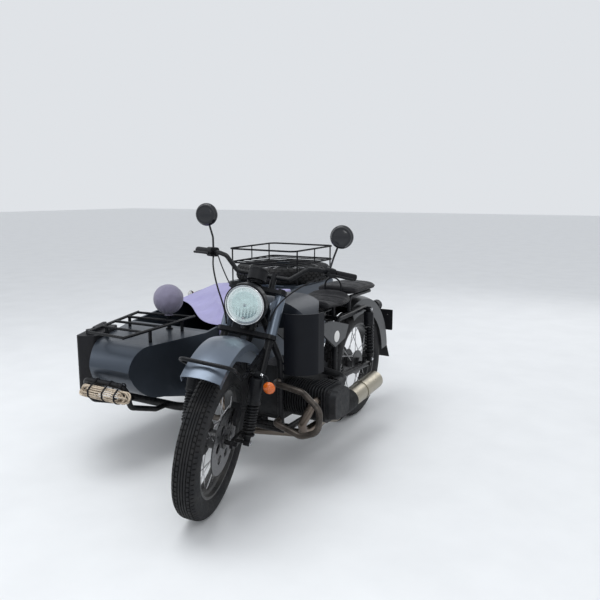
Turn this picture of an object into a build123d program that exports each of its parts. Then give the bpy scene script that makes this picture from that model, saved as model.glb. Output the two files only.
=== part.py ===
"""A motorcycle with a sidecar, parked on its three wheels, in millimetres.

While it is modelled, X = 0 is the motorcycle's centre plane with +X to its left, Y = 0 is
the rear axle with +Y to the rear, and Z = 0 is the ground. The sidecar is at its right.
What turns with the handlebar is modelled straight ahead and turned as it is finished.
"""

import os
from math import atan2, cos, degrees, radians, sin

from build123d import *

os.makedirs("parts", exist_ok=True)

# Stance
WHEELBASE = 1470.0
TRACK = 1140.0
SIDECAR_LEAD = 15.0
RAKE = 27.0
TRAIL = 65.0
STEER = 19.0
STEER_RISE = 1.5
CLEAR = 5.0
SEAT_GAP = 0.3
RUNNING_GAP = 0.05

# Where the finished part's origin lies, under the middle of the whole vehicle
ORIGIN_X = -411.0
ORIGIN_Y = -536.0

# Wheels
TYRE_R = 340.0
TYRE_W = 108.0
TYRE_SHOULDER_R = 320.0
TYRE_BELLY_R = 288.0
RIM_SEAT_R = 243.0
RIM_W = 80.0
RIM_LIP = 7.0
RIM_WELL_R = 223.0
HUB_W = 110.0
HUB_NECK_R = 30.0
HUB_BARREL_R = 40.0
FLANGE_R = 75.0
FLANGE_X = 32.0
AXLE_R = 10.0
SPOKES = 24
SPOKE_R = 2.2
SPOKE_LEAN = 24.0
DISC_R = 147.0
DISC_T = 5.0

# Front fork, along the steering axis from where that axis meets the ground
HEAD_BOTTOM = 850.0
HEAD_TOP = 1035.0
HEAD_R = 33.0
STEM_R = 17.0
YOKE_T = 20.0
LEG_X = 110.0
LEG_R = 19.0
LEG_SET_BACK = 12.0
COVER_R = 27.0
LEG_BOTTOM = 432.0
LINK_PIVOT_Y = -1322.0
LINK_PIVOT_Z = 322.0
SHOCK_PIN_R = 7.0
SHOCK_X = 140.0
SHOCK_LOW_BACK, SHOCK_LOW_RISE = 30.0, 6.0
SHOCK_HIGH_BACK, SHOCK_HIGH_RISE = 70.0, 305.0

# Front fender
FENDER_GAP = 112.0
FENDER_R = TYRE_R + FENDER_GAP
FENDER_HALF_W = 82.0
FENDER_SIDE = 46.0
FENDER_T = 3.0
FENDER_FRONT = 54.0
FENDER_REAR = 148.0

# Headlamp and controls
LAMP_BACK = 224.0
LAMP_Y = LAMP_BACK - WHEELBASE
LAMP_Z = 899.0
LENS_R = 87.0
LAMP_RIM_R = 98.0
LAMP_DEPTH = 112.0
BAR_R = 11.0
MIRROR_X = 340.0
MIRROR_Y = -950.0
MIRROR_Z = 1235.0

# Motorcycle body
FLAP_GAP, FLAP_FOOT = 1.5, 273.0
REAR_FENDER_GAP = 80.0
REAR_FENDER_R = TYRE_R + REAR_FENDER_GAP
REAR_FENDER_HALF_W = 70.0
PLATE_HOLE_X = 60.0
PLATE_HOLE_R = 3.2
TANK_TOP = 897.0
TANK_HALF_W = 148.0
TUBE_R = 16.0
SPINE_R = 20.0
SPINE_Y = -720.0
SPINE_Z = 762.0
SWING_PIVOT_Y = -455.0
SWING_PIVOT_Z = 355.0
STAND_X = 98.0
STAND_Y = -480.0
STAND_Z = 196.0
STAND_PIN_R = 8.0
STAND_REACH = 188.0
DRIVE_X = 60.0
DRIVE_R = 88.0
DRIVE_EYE_RISE = 62.0

# Engine
CRADLE_Z = 236.0
ENGINE_MOUNTS = (-940.0, -740.0)
MOUNT_BAR_R = 13.0
CRANK_Y = -905.0
CRANK_Z = 395.0
CASE_HALF_W = 80.0
HEAD_X = 345.0
FIN_R = 92.0
PIPE_R = 21.0
MUFFLER_R = 52.0
BAR_FRONT_Y = -1085.0

# Sidecar
BODY_LEFT = -455.0
BODY_RIGHT = -1030.0
BODY_WALL = 14.0
BODY_FLOOR = 300.0
BODY_TAIL = 690.0
NOSE_Y = -1385.0
NOSE_LEFT = -540.0
NOSE_RIGHT = -805.0
COCKPIT_Y = -880.0
DECK_Z = 645.0
HINGE_Y = 48.0
HINGE_X = (-600.0, -884.0)
KNUCKLE_R = 5.0
KNUCKLE_L = 60.0
HINGE_POST_W = 24.0
BOOT_TOP = 772.0
LID_T = 11.7
STERN_R = 100.0
RAIL_R = 22.0
TOW_X = -742.0
TOW_Y = 495.0
TOW_BORE_R = 8.5
SIDE_FENDER_GAP = 38.0
SIDE_FENDER_R = TYRE_R + SIDE_FENDER_GAP

BOOT_RIM = BOOT_TOP - LID_T - SEAT_GAP
HEAD_Y = -(WHEELBASE + TRAIL)
AXIS_DIR = Vector(0, sin(radians(RAKE)), cos(radians(RAKE)))
AXIS_FOOT = Vector(0, HEAD_Y, 0)
STEER_AXIS = Axis(AXIS_FOOT, AXIS_DIR)
FRONT_AXLE = Vector(0, -WHEELBASE, TYRE_R)
REAR_AXLE = Vector(0, 0, TYRE_R)
SIDECAR_AXLE = Vector(-TRACK, SIDECAR_LEAD, TYRE_R)
SPARE_CENTRE = Vector(-742, 385, BOOT_TOP + SEAT_GAP + HUB_W / 2)


def along_axis(distance, x=0.0, forward=0.0):
    """A point this far up the steering axis, to one side and square in front of it."""
    front = Vector(0, -cos(radians(RAKE)), sin(radians(RAKE)))
    return AXIS_FOOT + AXIS_DIR * distance + front * forward + Vector(x, 0, 0)


def plane_across(distance, x=0.0, forward=0.0):
    """A plane square to the steering axis, with its own X along the vehicle's X."""
    return Plane(origin=along_axis(distance, x, forward), x_dir=(1, 0, 0), z_dir=AXIS_DIR)


def finish(piece, name, turned=False):
    """Label a piece, turn it with the handlebar if it steers, and write it."""
    if turned:
        piece = piece.rotate(STEER_AXIS, STEER).moved(Location(AXIS_DIR * STEER_RISE))
    piece = piece.moved(Location((-ORIGIN_X, -ORIGIN_Y, 0)))
    piece.label = name
    export_step(piece, f"parts/{name}.step")


def tube(points, bend, radius):
    """A round tube along straight runs joined by tangent arcs."""
    with BuildPart() as run:
        with BuildLine() as path:
            FilletPolyline(*points, radius=bend)
        with BuildSketch(Plane(origin=path.line @ 0, z_dir=path.line % 0)):
            Circle(radius)
        sweep()
    return run.part


def rod(start, end, radius):
    """A straight round bar between two points."""
    start, end = Vector(start), Vector(end)
    with BuildPart() as bar:
        with BuildSketch(Plane(origin=start, z_dir=end - start)):
            Circle(radius)
        extrude(amount=(end - start).length)
    return bar.part


def turning(points):
    """A solid turned about the X axis from (x, radius) points."""
    with BuildPart() as turned:
        with BuildSketch(Plane.XY):
            with BuildLine():
                Polyline(*points, close=True)
            make_face()
        revolve(axis=Axis.X)
    return turned.part


def both_sides(points):
    """A profile that is given for one side only, closed over the middle plane."""
    return list(points) + [(-x, r) for x, r in reversed(points)]


def shock(lower, upper, turns, spring_r, sleeve):
    """A damper with its spring turns as ribs and a sleeve over its upper share."""
    lower, upper = Vector(lower), Vector(upper)
    length = (upper - lower).length
    eye_r, eye_w, rod_r = 15.0, 26.0, 11.0
    bore_r = SHOCK_PIN_R + SEAT_GAP
    low, high = 0.16 * length, (1 - sleeve) * length
    pitch = (high - low) / turns
    ribs = [(rod_r, eye_r), (spring_r, eye_r), (spring_r, low)]
    for turn in range(turns):
        start = low + turn * pitch
        ribs += [(spring_r - 9, start + 0.1 * pitch), (spring_r, start + 0.5 * pitch)]
    ribs += [(spring_r - 9, high - 0.1), (spring_r + 4, high), (spring_r + 4, length - eye_r)]
    ribs += [(rod_r, length - eye_r + 6), (rod_r, length), (0, length), (0, 0), (rod_r, 0)]
    stand = Plane(origin=lower, x_dir=(1, 0, 0), z_dir=upper - lower)
    upright = Plane(origin=lower, x_dir=stand.x_dir, z_dir=stand.y_dir * -1)
    with BuildPart() as unit:
        with BuildSketch(upright):
            with BuildLine():
                Polyline(*ribs, close=True)
            make_face()
        revolve(axis=Axis(lower, upper - lower))
        for end in (lower, upper):
            with BuildSketch(Plane(origin=end - Vector(eye_w / 2, 0, 0), z_dir=(1, 0, 0))):
                Circle(eye_r)
            extrude(amount=eye_w)
        for end in (lower, upper):
            with BuildSketch(Plane(origin=end, z_dir=(1, 0, 0))):
                Circle(bore_r)
            extrude(amount=eye_w, both=True, mode=Mode.SUBTRACT)
    return unit.part


def fender(outer_r, half_w, side, thickness, start, stop):
    """A curved sheet fender about the X axis, from one angle to another above forward."""
    with BuildPart() as guard:
        with BuildSketch(Plane.XZ):
            with BuildLine():
                top = ThreePointArc((-half_w, outer_r - 16), (0, outer_r), (half_w, outer_r - 16))
                Polyline(top @ 1, (half_w, outer_r - side), (half_w - thickness, outer_r - side))
                low = ThreePointArc(
                    (half_w - thickness, outer_r - 17),
                    (0, outer_r - thickness),
                    (thickness - half_w, outer_r - 17),
                )
                Line((half_w - thickness, outer_r - side), low @ 0)
                Polyline(low @ 1, (thickness - half_w, outer_r - side), (-half_w, outer_r - side))
                Line((-half_w, outer_r - side), top @ 0)
            make_face()
        revolve(axis=Axis.X, revolution_arc=stop - start)
    # The section stands straight above the axle at first, 90 degrees above forward.
    return guard.part.rotate(Axis.X, 90 - stop)


def wire_wheel():
    """A spoked wheel about the X axis: dropped rim, crossed spokes and flanged hub."""
    lip_r = RIM_SEAT_R + RIM_LIP
    rim = both_sides(
        [
            (-RIM_W / 2, lip_r),
            (4 - RIM_W / 2, lip_r),
            (4 - RIM_W / 2, RIM_SEAT_R),
            (-20, RIM_SEAT_R - 2),
            (-14, RIM_WELL_R + 6),
        ]
    )
    rim += both_sides(
        [
            (RIM_W / 2 - 1, RIM_SEAT_R - 5),
            (22, RIM_SEAT_R - 8),
            (16, RIM_WELL_R),
        ]
    )
    bore_r = AXLE_R + RUNNING_GAP
    hub = [(-HUB_W / 2, bore_r)] + [
        (-HUB_W / 2, HUB_NECK_R),
        (-FLANGE_X - 4, HUB_NECK_R),
        (-FLANGE_X - 4, FLANGE_R),
        (3 - FLANGE_X, FLANGE_R),
        (3 - FLANGE_X, HUB_BARREL_R),
    ]
    hub = both_sides(hub)
    spoke_planes = []
    for number in range(SPOKES):
        side = 1 if number % 2 else -1
        lean = SPOKE_LEAN if number % 4 < 2 else -SPOKE_LEAN
        at_hub = 360.0 * number / SPOKES
        foot = Vector(side * (FLANGE_X + lean / 10), FLANGE_R - 6, 0).rotate(Axis.X, at_hub)
        tip = Vector(side * 5, RIM_WELL_R + 2, 0).rotate(Axis.X, at_hub + lean)
        spoke_planes.append(Plane(origin=foot, z_dir=tip - foot))
        reach = (tip - foot).length
    with BuildPart() as wheel:
        add(turning(rim))
        add(turning(hub))
        with BuildSketch(*spoke_planes):
            Circle(SPOKE_R)
        extrude(amount=reach)
    return wheel.part


def tyre():
    """A tyre about the X axis, with straight flanks between its crown, shoulders and beads."""
    return turning(
        both_sides(
            [
                (-RIM_W / 2 + 9, RIM_SEAT_R + SEAT_GAP),
                (-TYRE_W / 2, TYRE_BELLY_R),
                (-TYRE_W / 2 + 4, TYRE_SHOULDER_R),
                (-TYRE_W / 2 + 30, TYRE_R - 1),
                (-TYRE_W / 6, TYRE_R),
            ]
        )
    )


# Wheels
road_wheel = wire_wheel()
road_tyre = tyre()
SPARE_PLACE = Location(SPARE_CENTRE, (0, 90, 0))
finish(road_wheel.moved(Location(FRONT_AXLE)), "front_wheel", turned=True)
finish(road_tyre.moved(Location(FRONT_AXLE)), "front_tyre", turned=True)
finish(road_wheel.moved(Location(REAR_AXLE)), "rear_wheel")
finish(road_tyre.moved(Location(REAR_AXLE)), "rear_tyre")
finish(road_wheel.moved(Location(SIDECAR_AXLE)), "sidecar_wheel")
finish(road_tyre.moved(Location(SIDECAR_AXLE)), "sidecar_tyre")
finish(road_wheel.moved(SPARE_PLACE), "spare_wheel")
finish(road_tyre.moved(SPARE_PLACE), "spare_tyre")

disc_x = HUB_W / 2 - 11
with BuildPart() as front_brake_disc:
    with BuildSketch(Plane.YZ.offset(disc_x).shift_origin((disc_x, -WHEELBASE, TYRE_R))):
        Circle(DISC_R)
        Circle(HUB_NECK_R + SEAT_GAP, mode=Mode.SUBTRACT)
        with PolarLocations(78, 6):
            Circle(22, mode=Mode.SUBTRACT)
    extrude(amount=DISC_T)
finish(front_brake_disc.part, "front_brake_disc", turned=True)

# Fork: two legs between yokes, with brackets for the shocks and lugs for the links
leg_top = HEAD_TOP + CLEAR + YOKE_T + 12
low_yoke = HEAD_BOTTOM - CLEAR - YOKE_T
shock_low = FRONT_AXLE + Vector(SHOCK_X, SHOCK_LOW_BACK, SHOCK_LOW_RISE)
shock_high = FRONT_AXLE + Vector(SHOCK_X, SHOCK_HIGH_BACK, SHOCK_HIGH_RISE)
bracket_in, bracket_t = LEG_X - 20, 14.0
pin_reach = SHOCK_X + 15
across_x = Plane(origin=(0, 0, 0), x_dir=(0, 1, 0), z_dir=(1, 0, 0))
with BuildPart() as fork_legs:
    for side in (-1, 1):
        x = side * LEG_X
        foot = along_axis(LEG_BOTTOM, x, -LEG_SET_BACK)
        add(rod(foot, along_axis(leg_top, x, -LEG_SET_BACK), LEG_R))
        add(rod((x, LINK_PIVOT_Y, LINK_PIVOT_Z), along_axis(LEG_BOTTOM + 30, x, -LEG_SET_BACK), 12))
        with BuildSketch(across_x.offset(x - 13)):
            with Locations((LINK_PIVOT_Y, LINK_PIVOT_Z)):
                Circle(22)
        extrude(amount=26)
        top = along_axis(790, 0, -LEG_SET_BACK)
        low = along_axis(690, 0, -LEG_SET_BACK)
        with BuildSketch(across_x.offset(side * bracket_in - (bracket_t if side < 0 else 0))):
            with BuildLine():
                Polyline(
                    (top.Y, top.Z),
                    (shock_high.Y - 16, shock_high.Z + 14),
                    (shock_high.Y - 16, shock_high.Z - 16),
                    (low.Y, low.Z),
                    close=True,
                )
            make_face()
        extrude(amount=bracket_t)
        pin = Vector(side * (bracket_in + 2), shock_high.Y, shock_high.Z)
        add(rod(pin, (side * pin_reach, shock_high.Y, shock_high.Z), SHOCK_PIN_R))
    for base in (low_yoke, HEAD_TOP + CLEAR):
        with BuildSketch(plane_across(base)):
            with Locations((0, -LEG_SET_BACK / 2)):
                SlotCenterToCenter(2 * LEG_X, 2 * (LEG_R + 13))
                Rectangle(110, 70)
        extrude(amount=YOKE_T)
    add(rod(along_axis(low_yoke), along_axis(HEAD_TOP + CLEAR + YOKE_T), STEM_R))
finish(fork_legs.part, "fork_legs", turned=True)

cover_bottom = HEAD_BOTTOM - CLEAR + SEAT_GAP
cover_top = HEAD_TOP + CLEAR - SEAT_GAP
with BuildPart() as fork_covers:
    for x in (-LEG_X, LEG_X):
        with BuildSketch(plane_across(cover_bottom, x, -LEG_SET_BACK)):
            Circle(COVER_R)
            Circle(LEG_R + SEAT_GAP, mode=Mode.SUBTRACT)
        extrude(amount=cover_top - cover_bottom)
    for side in (-1, 1):
        ear = LAMP_RIM_R + 2
        with BuildSketch(across_x.offset(side * ear - (4 if side < 0 else 0))):
            with Locations((LAMP_Y + 108, LAMP_Z)):
                SlotOverall(120, 34)
        extrude(amount=4)
        with BuildSketch(plane_across(cover_bottom, side * LEG_X, -LEG_SET_BACK)):
            Circle(LEG_R + SEAT_GAP)
        extrude(amount=cover_top - cover_bottom, mode=Mode.SUBTRACT)
finish(fork_covers.part, "fork_covers", turned=True)

# The front axle runs through both links
link_in, link_t = LEG_X - 30, 14.0
with BuildPart() as leading_links:
    for side in (-1, 1):
        reach = Vector(0, -WHEELBASE - LINK_PIVOT_Y, TYRE_R - LINK_PIVOT_Z)
        with BuildSketch(across_x.offset(side * link_in - (link_t if side < 0 else 0))):
            with Locations((LINK_PIVOT_Y + reach.Y / 2, LINK_PIVOT_Z + reach.Z / 2)):
                SlotCenterToCenter(reach.length, 46, rotation=degrees(atan2(reach.Z, reach.Y)))
        extrude(amount=link_t)
        face = side * (link_in + link_t - 1)
        add(rod((face, shock_low.Y, shock_low.Z), (side * pin_reach, shock_low.Y, shock_low.Z), SHOCK_PIN_R))
        inner = side * (LEG_X - 13 - SEAT_GAP)
        add(rod((face, LINK_PIVOT_Y, LINK_PIVOT_Z), (inner, LINK_PIVOT_Y, LINK_PIVOT_Z), 12))
    axle_end = link_in + link_t + 14
    add(rod((-axle_end, -WHEELBASE, TYRE_R), (axle_end, -WHEELBASE, TYRE_R), AXLE_R))
finish(leading_links.part, "leading_links", turned=True)

with BuildPart() as front_shocks:
    for side in (-1, 1):
        lower_eye = Vector(side * SHOCK_X, shock_low.Y, shock_low.Z)
        add(shock(lower_eye, (side * SHOCK_X, shock_high.Y, shock_high.Z), 9, 29, 0.45))
finish(front_shocks.part, "front_shocks", turned=True)

with BuildPart() as caliper:
    with BuildSketch(across_x.offset(disc_x - CLEAR - 7)):
        with Locations((-WHEELBASE + 100, TYRE_R + 92)):
            Rectangle(62, 86, rotation=-45)
    extrude(amount=DISC_T + 2 * CLEAR + 25)
    with BuildSketch(across_x.offset(disc_x - CLEAR)):
        with Locations((-WHEELBASE, TYRE_R)):
            Circle(DISC_R + CLEAR)
    extrude(amount=DISC_T + 2 * CLEAR, mode=Mode.SUBTRACT)
    seat = along_axis(494, LEG_X, -LEG_SET_BACK)
    lug = Vector(-46, -50 * cos(radians(RAKE)), 50 * sin(radians(RAKE)))
    add(rod(seat + lug, seat + lug.normalized() * (LEG_R + SEAT_GAP), 9))
finish(caliper.part, "brake_caliper", turned=True)

with BuildPart() as front_fender:
    arch = fender(FENDER_R, FENDER_HALF_W, FENDER_SIDE, FENDER_T, FENDER_FRONT, FENDER_REAR)
    add(arch.moved(Location(FRONT_AXLE)))
    for side in (-1, 1):
        boss = FRONT_AXLE + Vector(side * (FENDER_HALF_W - 2), 245, 336)
        add(rod(boss, boss + Vector(side * (bracket_in - SEAT_GAP - FENDER_HALF_W + 2), 0, 0), 7))
finish(front_fender.part, "front_fender", turned=True)

guard_r = FENDER_R + 16
guard_at = FRONT_AXLE + Vector(0, -guard_r * cos(radians(62)), guard_r * sin(radians(62)))
guard_x = bracket_in + bracket_t / 2
guard_half = [
    Vector(guard_x, shock_high.Y - 16 - SEAT_GAP, shock_high.Z),
    Vector(guard_x, shock_high.Y - 90, shock_high.Z),
    Vector(guard_x + 18, guard_at.Y, guard_at.Z),
]
with BuildPart() as fender_guard:
    other_half = [Vector(-point.X, point.Y, point.Z) for point in guard_half]
    add(tube(guard_half + list(reversed(other_half)), 36, 8))
finish(fender_guard.part, "fender_guard", turned=True)

# Headlamp, instrument and handlebar
with BuildPart() as headlamp_shell:
    with BuildSketch(Plane.YZ):
        with BuildLine():
            bowl = ThreePointArc(
                (LAMP_Y + LAMP_DEPTH, LAMP_Z),
                (LAMP_Y + 0.72 * LAMP_DEPTH, LAMP_Z + 0.72 * LAMP_RIM_R),
                (LAMP_Y + 32, LAMP_Z + LAMP_RIM_R),
            )
            Polyline(
                bowl @ 1,
                (LAMP_Y - 4, LAMP_Z + LAMP_RIM_R),
                (LAMP_Y - 8, LAMP_Z + LENS_R + 2),
                (LAMP_Y + 4, LAMP_Z + LENS_R + SEAT_GAP),
                (LAMP_Y + 10, LAMP_Z + LENS_R + SEAT_GAP),
                (LAMP_Y + 10, LAMP_Z),
                bowl @ 0,
            )
        make_face()
    revolve(axis=Axis((0, LAMP_Y, LAMP_Z), (0, 1, 0)))
    for side in (-1, 1):
        boss_end = side * (LAMP_RIM_R + 2 - SEAT_GAP)
        add(rod((side * (LAMP_RIM_R - 14), LAMP_Y + 66, LAMP_Z), (boss_end, LAMP_Y + 66, LAMP_Z), 10))
finish(headlamp_shell.part, "headlamp_shell", turned=True)

with BuildPart() as headlamp_lens:
    with BuildSketch(Plane.YZ):
        with BuildLine():
            dome = ThreePointArc(
                (LAMP_Y - 16, LAMP_Z),
                (LAMP_Y - 11, LAMP_Z + 0.55 * LENS_R),
                (LAMP_Y + 3, LAMP_Z + LENS_R),
            )
            lens_back = LAMP_Y + 10 - SEAT_GAP
            Polyline(dome @ 1, (lens_back, LAMP_Z + LENS_R), (lens_back, LAMP_Z), dome @ 0)
        make_face()
    revolve(axis=Axis((0, LAMP_Y, LAMP_Z), (0, 1, 0)))
finish(headlamp_lens.part, "headlamp_lens", turned=True)

yoke_top = HEAD_TOP + CLEAR + YOKE_T + SEAT_GAP
with BuildPart() as speedometer:
    with BuildSketch(plane_across(yoke_top)):
        with Locations((0, -40)):
            SlotOverall(110, 40, rotation=90)
    extrude(amount=6)
    with BuildSketch(plane_across(yoke_top + 5, 0, 72)):
        Circle(28)
    extrude(amount=8)
    with BuildSketch(plane_across(yoke_top + 12, 0, 72)):
        Circle(45)
    extrude(amount=52)
finish(speedometer.part, "speedometer", turned=True)

# The handlebar rises from two clamps, sweeps out and back to its grips
BAR_RISE = 70.0
BAR_BACK = 22.0
bar_centre = along_axis(yoke_top + BAR_RISE, 0, -BAR_BACK)
bar_y, bar_z = bar_centre.Y, bar_centre.Z
bar_half = [
    (130, bar_y, bar_z),
    (205, bar_y + 28, bar_z + 60),
    (252, bar_y + 58, bar_z + 62),
    (412, bar_y + 190, bar_z + 34),
]
left_bar = [Vector(*point) for point in bar_half]
right_bar = [Vector(-p.X, p.Y, p.Z) for p in left_bar]
GRIP_L = 120.0
with BuildPart() as handlebar:
    add(tube(list(reversed(right_bar)) + left_bar, 34, BAR_R))
    for x in (-55, 55):
        with BuildSketch(plane_across(yoke_top, x, -BAR_BACK)):
            Circle(15)
        extrude(amount=BAR_RISE + BAR_R + 4)
finish(handlebar.part, "handlebar", turned=True)

with BuildPart() as grips:
    for end, inner in ((left_bar[3], left_bar[2]), (right_bar[3], right_bar[2])):
        out = (end - inner).normalized()
        with BuildSketch(Plane(origin=end - out * (GRIP_L - 6), z_dir=out)):
            Circle(17)
        extrude(amount=GRIP_L)
        with BuildSketch(Plane(origin=end - out * GRIP_L, z_dir=out)):
            Circle(BAR_R + SEAT_GAP)
        extrude(amount=GRIP_L + SEAT_GAP, mode=Mode.SUBTRACT)
finish(grips.part, "grips", turned=True)

# Lever and switch housings, with the levers in front of the grips
with BuildPart() as levers:
    for side, end, inner in ((1, left_bar[3], left_bar[2]), (-1, right_bar[3], right_bar[2])):
        out = (end - inner).normalized()
        seat = end - out * (GRIP_L + 24)
        with BuildSketch(Plane(origin=seat - out * 20, z_dir=out)):
            RectangleRounded(50, 46, 12)
        extrude(amount=40)
        tip = end - out * 6 + Vector(side * 6, -52, -4)
        add(rod(seat + Vector(0, -14, 0), seat + Vector(side * 4, -46, -2), 8))
        add(rod(seat + Vector(side * 4, -46, -2), tip, 6))
        with BuildSketch(Plane(origin=seat - out * 21, z_dir=out)):
            Circle(BAR_R + SEAT_GAP)
        extrude(amount=42, mode=Mode.SUBTRACT)
finish(levers.part, "levers", turned=True)

with BuildPart() as mirrors:
    for side, end, inner in ((1, left_bar[3], left_bar[2]), (-1, right_bar[3], right_bar[2])):
        out = (end - inner).normalized()
        seat = end - out * (GRIP_L + 24)
        head = Vector(side * MIRROR_X, MIRROR_Y, MIRROR_Z)
        stalk = [seat + Vector(0, 0, 24 + SEAT_GAP), seat + Vector(side * 8, 0, 74), head]
        add(tube(stalk, 40, 5))
        with BuildSketch(Plane(origin=stalk[2] + Vector(0, 6, 0), z_dir=(0, -1, 0))):
            Circle(55)
        extrude(amount=22, taper=22)
finish(mirrors.part, "mirrors", turned=True)

# One indicator at the left: the one for the other side is on the sidecar
with BuildPart() as front_indicator:
    start = Vector(pin_reach + SEAT_GAP, shock_high.Y, shock_high.Z)
    middle = start + Vector(24, 0, 0)
    end = start + Vector(50, -24, -34)
    add(rod(start, middle, 6))
    add(rod(middle - Vector(6, 0, 0), end, 6))
    with BuildSketch(Plane(origin=end + Vector(0, 10, 0), z_dir=(0, -1, 0))):
        Circle(29)
    extrude(amount=24)
    with BuildSketch(Plane(origin=end + Vector(0, -14, 0), z_dir=(0, -1, 0))):
        Circle(27)
    extrude(amount=12, taper=30)
finish(front_indicator.part, "front_indicator", turned=True)

rear_low = Vector(134, -36, 384)
rear_high = Vector(138, -70, 700)

# Struts from the motorcycle's frame, each at its right side, to the sidecar's inner rail
LEFT_RAIL = -446.0
RAIL_Z = 262.0
STRUT_R = 13.0
STRUTS = [
    (Vector(-104, -720, 236), Vector(LEFT_RAIL, -760, RAIL_Z)),
    (Vector(-104, SWING_PIVOT_Y, 290), Vector(LEFT_RAIL, -420, RAIL_Z)),
    (Vector(-104, SWING_PIVOT_Y, 520), Vector(LEFT_RAIL, -640, RAIL_Z)),
    (Vector(-92, -200, 698), Vector(LEFT_RAIL, -120, RAIL_Z)),
]


def strut_joint(start, end):
    """Where a strut's socket on the motorcycle ends."""
    return start + (end - start).normalized() * 48


# Motorcycle frame: head tube, backbone, duplex downtubes and cradle, uprights and seat rails
down_x = CASE_HALF_W + 8 + TUBE_R
left_loop = [
    along_axis(HEAD_BOTTOM + 110, 20),
    Vector(34, -1046, 765),
    Vector(down_x, -1032, 600),
    Vector(down_x, -1026, 236),
    Vector(down_x, SWING_PIVOT_Y, 236),
    Vector(down_x, SWING_PIVOT_Y, 560),
    Vector(92, SWING_PIVOT_Y + 50, 688),
    Vector(92, -30, 700),
]
spine_top = along_axis(HEAD_BOTTOM + 70)
spine_slope = (spine_top.Z - SPINE_Z) / (SPINE_Y - spine_top.Y)
with BuildPart() as main_frame:
    with BuildSketch(plane_across(HEAD_BOTTOM)):
        Circle(HEAD_R)
    extrude(amount=HEAD_TOP - HEAD_BOTTOM)
    add(tube(left_loop, [45, 60, 60, 60, 70, 50], TUBE_R))
    add(tube([spine_top, (0, SPINE_Y, SPINE_Z), (0, -380, 690)], 120, SPINE_R))
    add(rod((92, rear_high.Y, rear_high.Z), (rear_high.X + 16, rear_high.Y, rear_high.Z), SHOCK_PIN_R))
    mirror(about=Plane.YZ)
    add(rod((-92, -385, 690), (92, -385, 690), 14))
    for y in (-1000, *ENGINE_MOUNTS):
        add(rod((-down_x, y, CRADLE_Z), (down_x, y, CRADLE_Z), MOUNT_BAR_R))
    for side in (-1, 1):
        add(rod((side * 92, -60, 706), (side * (REAR_FENDER_HALF_W + SEAT_GAP), -60, 706), 9))
        with BuildSketch(across_x.offset(side * (STAND_X + 6) - 6)):
            with Locations((STAND_Y, (STAND_Z + 236) / 2)):
                SlotCenterToCenter(236 - STAND_Z, 34, rotation=90)
            with Locations((STAND_Y, STAND_Z)):
                Circle(STAND_PIN_R + RUNNING_GAP, mode=Mode.SUBTRACT)
        extrude(amount=12)
    for start, end in STRUTS:
        add(rod(start, strut_joint(start, end), STRUT_R + 4))
    with BuildSketch(plane_across(HEAD_BOTTOM)):
        Circle(STEM_R + RUNNING_GAP)
    extrude(amount=HEAD_TOP - HEAD_BOTTOM, mode=Mode.SUBTRACT)
finish(main_frame.part, "main_frame")

with BuildPart() as engine_block:
    with BuildSketch(Plane.YZ):
        with BuildLine():
            nose = ThreePointArc((-1002, 470), (-1018, 390), (-990, 300))
            Polyline(nose @ 1, (-960, 272), (-720, 272), (-700, 300), (-500, 300))
            Line((-500, 300), (-488, 330))
            Polyline((-488, 330), (-488, 455), (-560, 500), (-690, 512), (-760, 545), (-960, 545))
            Line((-960, 545), nose @ 0)
        make_face()
    extrude(amount=CASE_HALF_W, both=True)
    fillet(engine_block.edges().filter_by(GeomType.LINE).filter_by(Axis.Y), 16)
    for x in (-45, 45):
        for y in ENGINE_MOUNTS:
            add(rod((x, y, CRADLE_Z + MOUNT_BAR_R + SEAT_GAP), (x, y, 276), 15))
finish(engine_block.part, "engine_block")

# Finned barrels and heads, one pair to each side of the crankcase
barrel_start = CASE_HALF_W + SEAT_GAP
barrel_end = 235.0
fins = [(barrel_start, 0), (barrel_start, FIN_R - 22)]
fin_pitch = 14.0
for number in range(int((barrel_end - barrel_start - 14) / fin_pitch)):
    x = barrel_start + 12 + number * fin_pitch
    fins += [(x, FIN_R - 22), (x, FIN_R), (x + 5, FIN_R), (x + 5, FIN_R - 22)]
fins += [(barrel_end, FIN_R - 22), (barrel_end, 0)]
with BuildPart() as cylinders:
    add(turning(fins).moved(Location((0, CRANK_Y, CRANK_Z))))
    mirror(about=Plane.YZ)
finish(cylinders.part, "cylinders")

with BuildPart() as cylinder_heads:
    head_start = barrel_end + SEAT_GAP
    with BuildSketch(across_x.offset(head_start)):
        with Locations((CRANK_Y, CRANK_Z)):
            RectangleRounded(160, 150, 24)
    extrude(amount=HEAD_X - head_start)
    for number in range(6):
        with BuildSketch(across_x.offset(head_start + 8 + number * 16)):
            with Locations((CRANK_Y, CRANK_Z)):
                RectangleRounded(184, 174, 30)
        extrude(amount=6)
    with BuildSketch(across_x.offset(HEAD_X)):
        with Locations((CRANK_Y, CRANK_Z)):
            RectangleRounded(164, 150, 40)
    extrude(amount=32, taper=12)
    mirror(about=Plane.YZ)
finish(cylinder_heads.part, "cylinder_heads")

# Intakes behind the heads
with BuildPart() as intakes:
    intake = Vector(262, CRANK_Y + 92 + SEAT_GAP, CRANK_Z + 34)
    add(rod(intake, intake + Vector(0, 62, 0), 24))
    add(rod(intake + Vector(0, 60, 0), intake + Vector(0, 108, 0), 31))
    runs = [intake + Vector(0, 106, 0), intake + Vector(0, 170, 10), intake + Vector(-172, 190, 30)]
    add(tube(runs, 45, 20))
    mirror(about=Plane.YZ)
finish(intakes.part, "intakes")

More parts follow.
